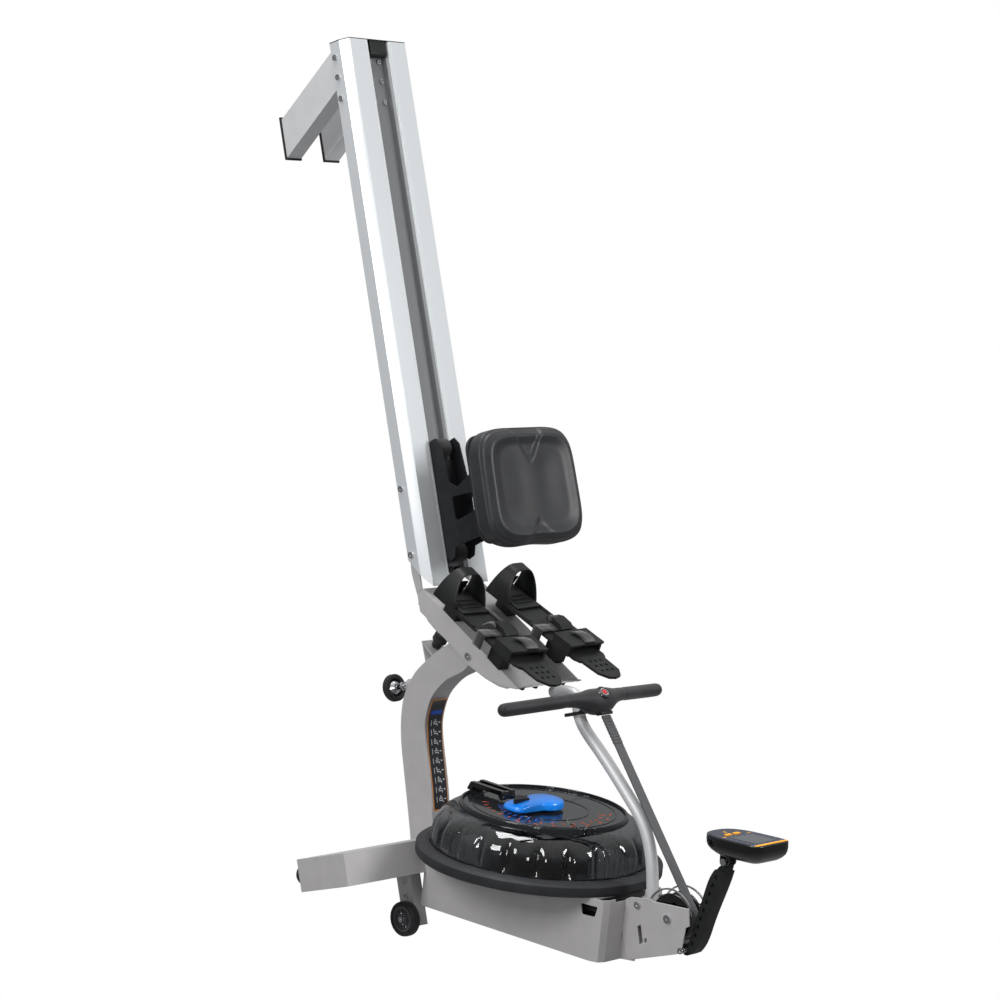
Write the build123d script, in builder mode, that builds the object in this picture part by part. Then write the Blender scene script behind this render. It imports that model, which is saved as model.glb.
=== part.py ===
"""Fluid rowing machine, stored standing on its front end.

Units are millimetres and +Z is up.  The origin is on the floor, on the centre plane, below the
point where the rail's seat face would meet the front axle line.

The machine has its own directions, leaned back by LEAN from the vertical:
  r  along the rail, from the front end (low) to the rear end (high)
  u  away from the rail's seat face, which is "up" when somebody rows
  y  across the machine
The water tank's axis is tipped by TANK_TILT from the rail.
"""
import os
from math import asin, atan2, cos, degrees, hypot, radians, sin

from build123d import *

os.makedirs("parts", exist_ok=True)

# ---------------------------------------------------------------- driving dimensions
LEAN = 12.0                    # rail's lean from the vertical when stored
TANK_TILT = 20.0               # tank axis from the rail
LIFT = 45.93                   # floor to the machine's own zero point
ALONG_X = -39.31               # and how far that point is along X from the origin
FLOOR_U = -258.0               # the floor's level when rowing, on the u axis

RAIL_W, RAIL_FACE, RAIL_D = 94.5, 83.0, 52.0      # half width, half seat face, depth
RAIL_TOP, RAIL_LOW, RAIL_LOW_BACK = 1893.0, 700.0, 764.0
SLOT = 31.0                    # half width of the seat slot
TRACK_U = -21.0                # floor of the seat track
ROLLER_R = 20.95               # seat rollers, running on the track
ROLLER_AT = (995.0, 770.0)     # their places along the rail

LEG_Y, LEG_T = 36.0, 42.0      # rear legs: inner side and thickness across
ARM_HALF = 28.0                # half width of the curved main arm
BEAM = dict(u0=-239.0, u1=-95.0, r0=113.0, r1=181.5, half=363.0)

WHEEL_R, WHEEL_U, WHEEL_RR, WHEEL_Y = 37.0, -151.0, 23.0, 165.0

TANK_X = 59.5                  # tank axis from the machine's zero point, along the tipped plate
RING_R, RING_Z0, RING_Z1 = 259.0, 129.5, 152.0
SHELL_R = 231.0
LID_R, LID_Z = 176.0, 243.0

PULLEY = (456.0, -43.0)        # belt pulley axle (u, r)
PULLEY_R = 42.0
BELT_W, BELT_T = 25.0, 3.0
DRUM_R = 34.0                  # drum under the tank that the belt winds on
HANDLE = (318.0, 416.0)

SEAT_R0, SEAT_R1, SEAT_U0, SEAT_HALF = 750.0, 996.0, 204.0, 147.0

FOOT_TILT, FOOT_SPLAY = 6.5, 2.3
CONSOLE_AT, CONSOLE_DIR = (613.0, 112.0), -16.2

CL, SL = cos(radians(LEAN)), sin(radians(LEAN))
CT, ST = cos(radians(TANK_TILT)), sin(radians(TANK_TILT))
DU, DR, DY = Vector(CL, 0, SL), Vector(-SL, 0, CL), Vector(0, 1, 0)
DA, DX = DR * CT + DU * ST, DU * CT - DR * ST       # tank axis, and forward along its plate


def P(u, y, r):
    """A point in the machine's directions."""
    return Vector(CL * u - SL * r + ALONG_X, y, SL * u + CL * r + LIFT)


def along(u=0, y=0, r=0):
    """Sketch plane across the rail: x = u, y = y, normal up the rail."""
    return Plane(P(u, y, r), x_dir=DU, z_dir=DR)


def side(y=0, u=0, r=0):
    """Sketch plane of the side view: x = u, y = r, normal towards -Y."""
    return Plane(P(u, y, r), x_dir=DU, z_dir=(0, -1, 0))


def facing(u=0, y=0, r=0):
    """Sketch plane facing away from the seat face: x = y, y = r, normal +u."""
    return Plane(P(u, y, r), x_dir=DY, z_dir=DU)


def axle(u, y, r):
    """Plane whose normal is +Y, for pins and wheels."""
    return Plane(P(u, y, r), x_dir=DU, z_dir=DY)


def tank(z=0.0, x=0.0, y=0.0):
    """Plane square to the tank's axis at height z above the base plate."""
    return Plane(P(0, y, 0) + DX * (TANK_X + x) + DA * z, x_dir=DX, z_dir=DA)


def tank_side(y=0.0):
    """Side view in the tank's directions: x forward, y up the tank axis, normal -Y."""
    return Plane(P(0, y, 0) + DX * TANK_X, x_dir=DX, z_dir=(0, -1, 0))


def put(plane):
    return Locations(plane.location)


def rod(plane, r, h, mode=Mode.ADD):
    """Cylinder standing on a plane."""
    with put(plane):
        Cylinder(r, h, align=(Align.CENTER, Align.CENTER, Align.MIN), mode=mode)


def slab(points, y0, y1, round_by=0.0, mode=Mode.ADD, view=side):
    """Outline in a side view, as thick as the span from y0 to y1."""
    with BuildSketch(view(y1)) as sk:
        with BuildLine():
            Polyline(*points, close=True)
        make_face()
        if round_by:
            fillet(sk.vertices(), round_by)
    extrude(sk.sketch, amount=y1 - y0, mode=mode)


def smooth_slab(outer, inner, y0, y1, shrink=0.0, mode=Mode.ADD):
    """Band between two smooth curves, in the side view."""
    with BuildSketch(side(y1)) as sk:
        with BuildLine():
            a = Spline(*outer)
            b = Spline(*inner)
            Line(a @ 1, b @ 1)
            Line(b @ 0, a @ 0)
        make_face()
        if shrink:
            offset(amount=shrink, mode=Mode.REPLACE, kind=Kind.INTERSECTION)
    extrude(sk.sketch, amount=y1 - y0, mode=mode)


def ring_section(plane_of, points, angle=360.0):
    """Turned piece: half section (radius, height) spun about the tank's axis."""
    base = plane_of(0)
    flat = Plane(base.origin, x_dir=DX, z_dir=(0, -1, 0))
    with BuildSketch(flat) as sk:
        with BuildLine():
            Polyline(*points, close=True)
        make_face()
    revolve(sk.sketch, axis=Axis(base.origin, DA), revolution_arc=angle)


def turned(plane, points):
    """Turned piece about a plane's own normal: points are (radius, height)."""
    flat = Plane(plane.origin, x_dir=plane.x_dir, z_dir=plane.x_dir.cross(plane.z_dir))
    with BuildSketch(flat) as sk:
        with BuildLine():
            Polyline(*points, close=True)
        make_face()
    revolve(sk.sketch, axis=Axis(plane.origin, plane.z_dir))


def bolt(plane, r=6.5, h=4.5, socket=2.6):
    """Button head with a hex socket; the plane's normal points out of the panel."""
    with BuildSketch(plane) as sk:
        Circle(r)
    extrude(sk.sketch, amount=h)
    with BuildSketch(plane.offset(h - 2.2)) as hole:
        RegularPolygon(socket, 6)
    extrude(hole.sketch, amount=4, mode=Mode.SUBTRACT)


saved = {}


def save(builder, label):
    builder.part.label = label
    export_step(builder.part, f"parts/{label}.step")
    saved[label] = round(builder.part.volume)


# ---------------------------------------------------------------- rail
def rail_outline():
    w, f, d = RAIL_W, RAIL_FACE, RAIL_D
    right = [(0, SLOT), (0, f), (-22, w), (-d, w)]
    left = [(u, -y) for u, y in reversed(right)]
    channel = [(-3, -SLOT), (-9, -26.5), (TRACK_U, -24), (TRACK_U, 24), (-9, 26.5), (-3, SLOT)]
    return right + left + channel


with BuildPart() as rail:
    with BuildSketch(along(r=600)) as profile:
        with BuildLine():
            Polyline(*rail_outline(), close=True)
        make_face()
        for sgn in (1, -1):
            with BuildLine():
                Polyline(*[(u, sgn * y) for u, y in ((-3.5, 35), (-3.5, 81.5), (-24, 91.2),
                                                     (-48.5, 91.2), (-48.5, 30), (-12.5, 30))],
                         close=True)
            make_face(mode=Mode.SUBTRACT)
    extrude(profile.sketch, amount=RAIL_TOP - 600)
    # the lower end is cut slantwise, parallel to the footrest
    slab([(-90, 813), (5, 696), (5, 560), (-90, 560)], -120, 120, mode=Mode.SUBTRACT)
    for sgn in (1, -1):                      # shallow grooves either side of the slot
        with BuildSketch(along(r=600)) as groove:
            with Locations((0, sgn * 36.5)):
                Rectangle(1.6, 1.6)
        extrude(groove.sketch, amount=RAIL_TOP - 600, mode=Mode.SUBTRACT)
save(rail, "rail")

with BuildPart() as rail_end_cap:
    with BuildSketch(along(r=RAIL_TOP + 0.05)) as sk:
        with BuildLine():
            Polyline((0, RAIL_FACE), (-22, RAIL_W), (-RAIL_D, RAIL_W), (-RAIL_D, -RAIL_W),
                     (-22, -RAIL_W), (0, -RAIL_FACE), close=True)
        make_face()
    extrude(sk.sketch, amount=2.0)
save(rail_end_cap, "rail_end_cap")

with BuildPart() as rail_stops:              # stop in the track's top end, blocks at its low end
    slab([(TRACK_U + 0.1, 1892.8), (TRACK_U + 0.1, 1866), (-6, 1862), (-2, 1868), (-2, 1892.8)],
         -23.5, 23.5)
    rod(axle(-10, -23.4, 1866), 8, 46.8)
    for y in (-15.5, 15.5):
        with put(along(TRACK_U + 7.1, y, 735)):
            Box(14, 12, 14)
    with put(along(TRACK_U + 2.1, 0, 735)):
        Box(4, 30, 10)
save(rail_stops, "rail_stops")

TOP_BOLTS = (1859, 1816, 1769)
with BuildPart() as frame_bolts:             # every button-head bolt of the frame
    for sgn in (1, -1):
        def out(u, y, r):
            return Plane(P(u, sgn * y, r), x_dir=DU, z_dir=(0, sgn, 0))
        for r in TOP_BOLTS + (918, 776):     # through the rail's sides
            bolt(out(-40, RAIL_W + 0.02, r), 6.5, 4.2)
        for r in TOP_BOLTS:                  # heads on the track floor, over the leg plate
            bolt(facing(TRACK_U + 0.05, sgn * 14, r - 8), 6.0, 3.6)
        bolt(out(82, 94.52, 543), 7.5, 5)    # footrest pivot
        for u, r in ((-150, 98), (-151, 69)):  # wheel brackets
            bolt(out(u, 151.65, r), 5.5, 3.5)
        bolt(out(WHEEL_U, 175.6, WHEEL_RR), 6.5, 3.5)
        for u, r, size in ((456, -43, 8.5), (383, -9, 7.0), (478, -108, 6.5)):   # nose
            bolt(out(u, 30.45, r), size, 4.8)
save(frame_bolts, "frame_bolts")

# ---------------------------------------------------------------- rear legs
LEG = [(-55.6, 1887), (-55.6, 1803), (FLOOR_U + 6, 1694), (FLOOR_U + 6, 1780)]
with BuildPart() as rear_legs:
    for sgn in (1, -1):
        y0, y1 = sorted((sgn * LEG_Y, sgn * (LEG_Y + LEG_T)))
        slab(LEG, y0, y1)
        slab([(-54, 1884), (-54, 1808), (FLOOR_U + 5, 1698), (FLOOR_U + 5, 1775)],
             y0 + 2.5, y1 - 2.5, mode=Mode.SUBTRACT)
    with put(along(-52.05, 0, 1755)):        # plate welded across, against the rail's back
        Box(3.65, 2 * (LEG_Y + LEG_T) + 8, 130, align=(Align.MAX, Align.CENTER, Align.MIN))
save(rear_legs, "rear_legs")

with BuildPart() as rear_caps:               # rubber feet of the rear legs
    for sgn in (1, -1):
        y0, y1 = sorted((sgn * (LEG_Y - 1.5), sgn * (LEG_Y + LEG_T + 1.5)))
        slab([(FLOOR_U + 5.9, 1690), (FLOOR_U + 5.9, 1786), (FLOOR_U, 1786), (FLOOR_U, 1690)],
             y0, y1, round_by=1.8)
save(rear_caps, "rear_caps")

# ---------------------------------------------------------------- footrest frame
FS, FD, FN = Vector(-23, 701), (0.690, -0.724), (0.724, 0.690)   # start, run and normal in (u, r)


def fp(s, h):
    """(u, r) of a point s along the footrest's slope and h above its plate."""
    return (FS.X + FD[0] * s + FN[0] * h, FS.Y + FD[1] * s + FN[1] * h)


with BuildPart() as footrest_channel:
    slab([fp(0, 0), fp(333, 0), fp(333, -3), fp(0, -3)], -94.5, 94.5)
    for y0 in (-94.5, 91.5):
        slab([fp(0, -0.5), fp(333, -0.5), fp(333, -4), fp(318, -13), fp(295, -25), fp(265, -36),
              fp(235, -42.5), fp(212, -44), fp(22, -44), fp(-2, -22)], y0, y0 + 3)
    slab([fp(328, -0.5), (230, 460), (230, 457), fp(326, -4)], -75, 75)    # toe lip
    slab([fp(0.5, -1), fp(3, -1), fp(3, -40), fp(0.5, -26)], -87.6, 87.6)
save(footrest_channel, "footrest_channel")

GUSSET = [(-47, 935), (-47, 767), (-51, 752), (-51, 735), (-46, 699), (-39, 665), (-25, 632),
          (-8, 611), (14, 591), (44, 557), (75, 523), (117, 490), (150, 470), (172, 462),
          fp(325, -3.2)]
with BuildPart() as gusset_plates:
    for y0 in (-91.1, 87.8):
        slab(GUSSET + [fp(-3, -3.2), (-28, 716), (-28, 935)], y0, y0 + 3.3)
save(gusset_plates, "gusset_plates")

with BuildPart() as footrest_ties:           # cross tubes between the gusset plates
    for u, r in ((100, 530), (142, 492)):
        with BuildSketch(axle(u, -87.75, r)) as sk:
            Circle(8)
            Circle(5, mode=Mode.SUBTRACT)
        extrude(sk.sketch, amount=175.5)
    # folded plate between the gussets that the buffer lands on
    slab([(-44, 655), (-16, 620), (-13.6, 622), (-41.6, 657)], -87.75, 87.75)
save(footrest_ties, "footrest_ties")

with BuildPart() as toe_bumpers:
    for y in (-62, -22, 22, 62):
        rod(Plane(P(fp(318, -3.1)[0], y, fp(318, -3.1)[1]), x_dir=DY,
                  z_dir=DU * -FN[0] - DR * FN[1]), 8, 13)
save(toe_bumpers, "toe_bumpers")

# ---------------------------------------------------------------- main arm and its fittings
ARM_OUT = [(-241, 181.6), (-237, 224), (-229, 338), (-222, 407), (-207, 462), (-195, 487),
           (-174, 512), (-151, 533), (-122, 549), (-81, 567), (-41, 576), fp(88, -3.2)]
ARM_IN = [(-167, 181.6), (-163, 236), (-157, 289), (-152, 371), (-143, 426), (-131, 450),
          (-110, 477), (-85, 494), (-56, 507), (-19, 516), (17, 521), fp(162, -3.2)]
ARM_OUT[-2] = (-30, 583)
ARM_IN[-2], ARM_IN[-3] = (24, 534), (-10, 517)



def shifted(points, d):
    """The same run of points, moved sideways by d."""
    moved = []
    for i, (u, r) in enumerate(points):
        (ua, ra), (ub, rb) = points[max(i - 1, 0)], points[min(i + 1, len(points) - 1)]
        length = hypot(ub - ua, rb - ra)
        moved.append((u + (rb - ra) / length * d, r - (ub - ua) / length * d))
    return moved


CF = Plane(P(-186, 0, 511), x_dir=DY, z_dir=-DU)          # centre foot, pointing at the floor
with BuildPart() as main_arm:
    smooth_slab(ARM_OUT, ARM_IN, -ARM_HALF, ARM_HALF)
    smooth_slab(shifted(ARM_OUT, 3), shifted(ARM_IN, -3), -ARM_HALF + 3, ARM_HALF - 3,
                mode=Mode.SUBTRACT)
    with BuildSketch(CF.offset(-24)) as sk:  # boss of the centre foot
        Circle(13)
    extrude(sk.sketch, amount=38)
    rod(CF.offset(-30), 6.05, 60, mode=Mode.SUBTRACT)
    # bracket that carries the buffer
    slab([(-117, 552), (-119, 598), (-90, 562.5), (-93, 559), (-115.8, 589.2), (-114, 552)],
         -25, 25)
save(main_arm, "main_arm")

BUF = Plane(P(-105.5, 0, 581), x_dir=DY, z_dir=DU * 0.78 + DR * 0.626)
with BuildPart() as frame_buffer:            # ribbed rubber buffer on its nut
    with BuildSketch(BUF.offset(2.6)) as sk:
        RegularPolygon(11, 6)
    extrude(sk.sketch, amount=9)
    rod(BUF.offset(11.5), 9, 7)
    turned(BUF.offset(17.5), [(0, 0), (15, 0), (16.5, 2), (16.5, 6), (14.5, 9), (16.5, 12),
                              (16.5, 18), (14.5, 21), (16.5, 24), (16.5, 30), (14.5, 33),
                              (16.5, 36), (16.5, 56), (14, 58), (0, 58)])
save(frame_buffer, "frame_buffer")

with BuildPart() as centre_foot:             # threaded stem, lock nut and cup
    rod(CF.offset(-12), 6, 68)
    with BuildSketch(CF.offset(30)) as sk:
        RegularPolygon(10.5, 6)
    extrude(sk.sketch, amount=8)
    turned(CF.offset(0), [(5, 52), (10, 52), (19, 62), (20.5, 67), (5, 67)])
save(centre_foot, "centre_foot")
with BuildPart() as centre_foot_pad:
    turned(CF.offset(0), [(20.6, 56), (27, 55), (30, 58), (30, 68), (27, 72), (0, 72),
                          (0, 67.1), (20.6, 67.1)])
save(centre_foot_pad, "centre_foot_pad")

# ---------------------------------------------------------------- front foot beam
B = BEAM
with BuildPart() as front_beam:
    with put(along((B["u0"] + B["u1"]) / 2, 0, (B["r0"] + B["r1"]) / 2)):
        Box(B["u1"] - B["u0"], 2 * B["half"], B["r1"] - B["r0"])
        Box(B["u1"] - B["u0"] - 5, 2 * B["half"] - 5, B["r1"] - B["r0"] - 5, mode=Mode.SUBTRACT)
    for y in (-129.0, 129.0):                # tabs for the wheel brackets
        with put(along(-150, y, B["r0"] + 0.5)):
            Box(30, 20, 70, align=(Align.CENTER, Align.CENTER, Align.MAX))
    slab([(B["u1"] - 1, 166), (B["u1"] + 40, 150), (-62, 60), (-118, 112), (B["u1"] - 1, 116)],
         -60, 60)                            # spine welded to the beam, into the housing
save(front_beam, "front_beam")
with BuildPart() as front_feet:
    for sgn in (1, -1):
        foot_at = Plane(P(B["u0"] - 0.05, sgn * 335, 147), x_dir=DY, z_dir=-DU)
        turned(foot_at, [(0, 0), (14, 0), (19, 4), (20, 10), (19, 18.95), (0, 18.95)])
save(front_feet, "front_feet")

# ---------------------------------------------------------------- transport wheels
with BuildPart() as wheel_brackets:
    for sgn in (1, -1):
        y0, y1 = sorted((sgn * 147.6, sgn * 151.6))
        slab([(-172, 112.8), (-130, 112.8), (-130, 8), (-136, 2), (-160, 2), (-172, 14)], y0, y1)
        y0, y1 = sorted((sgn * 122.0, sgn * 148.0))
        slab([(-133.6, 112.8), (-130, 112.8), (-130, 4), (-133.6, 4)], y0, y1)
        y0, y1 = sorted((sgn * 139.3, sgn * 147.7))
        slab([(-160, 112.8), (-140, 112.8), (-140, 60), (-160, 60)], y0, y1)
        rod(Plane(P(WHEEL_U, sgn * 151.5, WHEEL_RR), x_dir=DU, z_dir=(0, sgn, 0)), 5, 24)
save(wheel_brackets, "wheel_brackets")

for sgn, tag in ((-1, "left"), (1, "right")):
    hub_face = Plane(P(WHEEL_U, sgn * 154.0, WHEEL_RR), x_dir=DU, z_dir=(0, sgn, 0))
    with BuildPart() as wheel_tyre:
        turned(hub_face, [(27, 0), (33, 0), (36.4, 3), (WHEEL_R, 7), (WHEEL_R, 15), (36.4, 19),
                          (33, 22), (27, 22)])
    save(wheel_tyre, f"wheel_tyre_{tag}")
    with BuildPart() as wheel_hub:
        turned(hub_face, [(5.05, 1), (11, 1), (11, 8), (23, 8), (23, 2), (26.95, 2), (26.95, 20),
                          (23, 20), (23, 12), (11, 12), (11, 19), (5.05, 19)])
        with BuildSketch(hub_face.offset(-2)) as cuts:
            with PolarLocations(17, 11):
                SlotCenterToCenter(4.5, 4.2)
        extrude(cuts.sketch, amount=30, mode=Mode.SUBTRACT)
    save(wheel_hub, f"wheel_hub_{tag}")

# ---------------------------------------------------------------- tank housing
NOSE_X = 330 - TANK_X          # front wall, in the tank's own x
REAR_X = -134 - TANK_X
HOUSE_TOP = 128.5
with BuildPart() as housing:
    for sgn in (1, -1):
        def yy(v):
            return sgn * v
        with BuildSketch(tank(0)) as sk:
            with BuildLine():
                Polyline((REAR_X, yy(138)), (NOSE_X - 22, yy(98)), (NOSE_X - 6, yy(91)),
                         (NOSE_X, yy(76)), (NOSE_X, yy(27.2)), (NOSE_X + 36, yy(27.2)),
                         (NOSE_X + 36, yy(24.2)), (NOSE_X - 3, yy(24.2)), (NOSE_X - 3, yy(75)),
                         (NOSE_X - 8.4, yy(88.2)), (NOSE_X - 23, yy(94.6)), (REAR_X, yy(134.6)),
                         close=True)
            make_face()
        extrude(sk.sketch, amount=HOUSE_TOP)
    # inner floor plate that ties the two sides together and carries the tank
    with BuildSketch(tank(22)) as sk:
        with BuildLine():
            Polyline((REAR_X, 134), (REAR_X, -134), (NOSE_X - 24, -94), (NOSE_X - 3, -74),
                     (NOSE_X - 3, 74), (NOSE_X - 24, 94), close=True)
        make_face()
    extrude(sk.sketch, amount=3)
    with BuildSketch(tank(HOUSE_TOP - 3)) as sk:
        with BuildLine():
            Polyline((REAR_X, 134), (REAR_X, -134), (NOSE_X - 24, -94), (NOSE_X - 24, 94),
                     close=True)
        make_face()
        Circle(30, mode=Mode.SUBTRACT)
    extrude(sk.sketch, amount=3)
    for sgn in (1, -1):                      # cut-outs near the nose
        slab([(NOSE_X - 58, 112), (NOSE_X - 16, 114), (NOSE_X - 20, 92), (NOSE_X - 52, 90)],
             *sorted((sgn * 80, sgn * 150)), round_by=3, mode=Mode.SUBTRACT, view=tank_side)
    # front wall's top edge dips in the middle for the belt
    slab([(NOSE_X - 10, 122), (NOSE_X + 60, 122), (NOSE_X + 60, 140), (NOSE_X - 10, 140)],
         -60, 60, mode=Mode.SUBTRACT, view=tank_side)
    with put(along(B["u1"] + 0.1, 0, 112.9)):     # clear of the beam
        Box(200, 700, 200, align=(Align.MAX, Align.CENTER, Align.MIN), mode=Mode.SUBTRACT)
    slab([(B["u1"] - 1, 167), (B["u1"] + 41, 151), (-60, 58.5), (-120, 111), (-120, 177)],
         -60.5, 60.5, mode=Mode.SUBTRACT)
    with put(Plane.XY):                      # its foremost lower edges are trimmed level
        Box(4000, 800, 100, align=(Align.CENTER, Align.CENTER, Align.MAX), mode=Mode.SUBTRACT)
save(housing, "housing")

PLATE = [(352, 5), (367, 8), (420, 0), (424, -5), (515, -28), (509, -62), (499, -64),
         (475, -114), (330, -117), (330, -40)]
with BuildPart() as pulley_plates:
    for y0 in (-30.4, 27.3):
        slab(PLATE, y0, y0 + 3.1)
        with BuildSketch(tank(0)) as sk:     # starts at the housing's front wall
            Rectangle(2 * (NOSE_X + 0.05), 200)
        extrude(sk.sketch, amount=400, both=True, mode=Mode.SUBTRACT)
        slab([(372, -52), (382, -48), (380, -84), (370, -88)], y0 - 1, y0 + 5, mode=Mode.SUBTRACT)
        slab([(385, -78), (392, -76), (391, -84), (384, -86)], y0 - 1, y0 + 5, mode=Mode.SUBTRACT)
save(pulley_plates, "pulley_plates")

with BuildPart() as nose_pins:               # pulley axle and the console arm's pivot
    rod(axle(456, -27.2, -43), 6, 54.4)
    rod(axle(478, -27.2, -108), 5, 54.4)
save(nose_pins, "nose_pins")

with BuildPart() as belt_pulley:
    face_plane = axle(456, 0, -43)
    turned(face_plane, [(6.05, -20), (49, -20), (50, -18), (49, -16), (PULLEY_R, -14.5),
                        (PULLEY_R, 14.5), (49, 16), (50, 18), (49, 20), (6.05, 20)])
    with BuildSketch(face_plane.offset(-30)) as sk:
        with PolarLocations(26, 6):
            Circle(7)
    extrude(sk.sketch, amount=60, mode=Mode.SUBTRACT)
save(belt_pulley, "belt_pulley")

with BuildPart() as belt_guards:             # bent wires either side of the pulley
    for y in (-24.4, 24.4):
        with BuildSketch(axle(456, y, -43)) as sk:
            Circle(61)
            Circle(57.6, mode=Mode.SUBTRACT)
        extrude(sk.sketch, amount=1.7, both=True)
    slab([(370, -43), (540, -43), (540, -120), (370, -120)], -40, 40, mode=Mode.SUBTRACT)
save(belt_guards, "belt_guards")

# ---------------------------------------------------------------- S-tube and handle hook
S_PATH = [P(214, 0, 440.5), P(252, 0, 438), P(279, 0, 423), P(278, 0, 396), P(281, 0, 372),
          P(310, 0, 320), P(381, 0, 200), P(402, 0, 157), P(411, 0, 116), P(409, 0, 55),
          P(395, 0, -12), P(389, 0, -40)]
with BuildPart() as s_tube:
    with BuildLine() as path:
        Spline(*S_PATH)
    tip = Plane(origin=path.line @ 0, z_dir=path.line % 0)
    with BuildSketch(tip) as sk:
        Circle(12.7)
        Circle(10.7, mode=Mode.SUBTRACT)
    sweep(sk.sketch, path=path.line)
save(s_tube, "s_tube")

with BuildPart() as handle_hook:             # saddle the handle hangs from
    with BuildSketch(along(283, 0, 386.4)) as sk:
        Ellipse(41.5, 22)
    extrude(sk.sketch, amount=7)
    for sgn in (1, -1):
        slab([(296, 387), (312, 387), (318, 394), (318, 408), (312, 408), (310, 398), (296, 393)],
             *sorted((sgn * 17, sgn * 23)))
    for a, b in zip(S_PATH[2:6], S_PATH[3:7]):
        axis_plane = Plane(a - (b - a) * 0.2, z_dir=b - a)
        with put(axis_plane):
            Cylinder(14.2, (b - a).length * 1.4, mode=Mode.SUBTRACT,
                     align=(Align.CENTER, Align.CENTER, Align.MIN))
save(handle_hook, "handle_hook")

HU, HR = HANDLE
with BuildPart() as handle_bar:
    with BuildLine() as bar:
        Spline(P(HU - 24, -232, HR), P(HU - 22, -215, HR), P(HU - 6, -110, HR), P(HU + 12, -45, HR - 4),
               P(HU + 20, 0, HR - 8), P(HU + 12, 45, HR - 4), P(HU - 6, 110, HR), P(HU - 22, 215, HR),
               P(HU - 24, 232, HR))
    with BuildSketch(Plane(origin=bar.line @ 0, z_dir=bar.line % 0)) as sk:
        Circle(14)
    sweep(sk.sketch, path=bar.line)
    with put(Plane(P(HU + 24, 0, HR - 6), x_dir=DY, z_dir=DU)):
        Cylinder(25, 30)
    for end in (bar.line @ 0, bar.line @ 1):
        with put(Plane(end, x_dir=DU, z_dir=DY)):
            Sphere(14)
save(handle_bar, "handle_bar")

BELT_TOP = (HU + 30, HR - 40)
# belt run: straight from the yoke to the pulley's outer side, round it, and on to the drum
ANG = atan2(PULLEY[1] - BELT_TOP[1], PULLEY[0] - BELT_TOP[0])
DIST = hypot(PULLEY[0] - BELT_TOP[0], PULLEY[1] - BELT_TOP[1])
OFF = asin((PULLEY_R + 0.1) / DIST)
TAN = ANG + OFF
T_LEN = DIST * cos(OFF)
BELT_TAN = (BELT_TOP[0] + T_LEN * cos(TAN), BELT_TOP[1] + T_LEN * sin(TAN))
NRM = (-sin(TAN), cos(TAN))                  # away from the pulley
if (PULLEY[0] - BELT_TAN[0]) * NRM[0] + (PULLEY[1] - BELT_TAN[1]) * NRM[1] > 0:
    NRM = (-NRM[0], -NRM[1])

with BuildPart() as belt_pull:
    t = BELT_T
    slab([BELT_TOP, BELT_TAN, (BELT_TAN[0] + NRM[0] * t, BELT_TAN[1] + NRM[1] * t),
          (BELT_TOP[0] + NRM[0] * t, BELT_TOP[1] + NRM[1] * t)], -BELT_W / 2, BELT_W / 2)
save(belt_pull, "belt_pull")

def tank_at(x, y, z):
    """A point in the tank's own directions, x counted from the machine's zero point."""
    return P(0, y, 0) + DX * x + DA * z


PULLEY_TANK = (PULLEY[0] * CT - PULLEY[1] * ST, PULLEY[0] * ST + PULLEY[1] * CT)
RUN_Z = PULLEY_TANK[1] - PULLEY_R - 0.1 - BELT_T / 2      # level of the run back to the drum
TWIST_X = 345.0                                           # where the belt begins to turn on edge
DRUM_Y = DRUM_R + 0.05 + BELT_T / 2
with BuildPart() as belt_return:             # round the pulley, back to the drum, and round it
    a0 = degrees(atan2(NRM[1], NRM[0]))
    turn = -(a0 + 90 + TANK_TILT)
    r_in, r_out = PULLEY_R + 0.1, PULLEY_R + 0.1 + BELT_T
    with BuildSketch(side(BELT_W / 2)) as sk:
        with BuildLine():
            inner = CenterArc(PULLEY, r_in, a0 - 0.3, turn + 0.3)
            outer = CenterArc(PULLEY, r_out, a0 - 0.3, turn + 0.3)
            Line(inner @ 0, outer @ 0)
            Line(inner @ 1, outer @ 1)
        make_face()
    extrude(sk.sketch, amount=BELT_W)
    with put(Plane(tank_at(TWIST_X, 0, RUN_Z), x_dir=DY, z_dir=DX)):
        Box(BELT_W, BELT_T, PULLEY_TANK[0] - TWIST_X + 0.2,
            align=(Align.CENTER, Align.CENTER, Align.MIN))
    steps = 8
    for i in range(steps):                   # a quarter twist on the way to the drum
        for k in (i, i + 1):
            f, angle = k / steps, radians(90 * k / steps)
            here = Plane(tank_at(TWIST_X + (TANK_X + 25 - TWIST_X) * f, DRUM_Y * f, RUN_Z),
                         x_dir=DY * cos(angle) + DA * sin(angle), z_dir=-DX)
            with BuildSketch(here) as section:
                Rectangle(BELT_W, BELT_T)
            if k == i:
                first = section.sketch
        loft(sections=[first, section.sketch])
    with put(Plane(tank_at(TANK_X, DRUM_Y, RUN_Z), x_dir=DA, z_dir=DX)):
        Box(BELT_W, BELT_T, 25.1, align=(Align.CENTER, Align.CENTER, Align.MIN))
    with BuildSketch(tank(RUN_Z - BELT_W / 2)) as wrap:
        Circle(DRUM_R + 0.05 + BELT_T)
        Circle(DRUM_R + 0.05, mode=Mode.SUBTRACT)
        with Locations((40, 40)):
            Rectangle(80, 80, mode=Mode.SUBTRACT)
    extrude(wrap.sketch, amount=BELT_W)
save(belt_return, "belt_return")

with BuildPart() as belt_yoke:               # clamp that joins the belt to the handle
    slab([(HU + 22, HR - 38.2), (HU + 37, HR - 38.2), (HU + 37, HR - 31.1), (HU + 22, HR - 31.1)],
         -17, 17, round_by=2)
save(belt_yoke, "belt_yoke")

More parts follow.
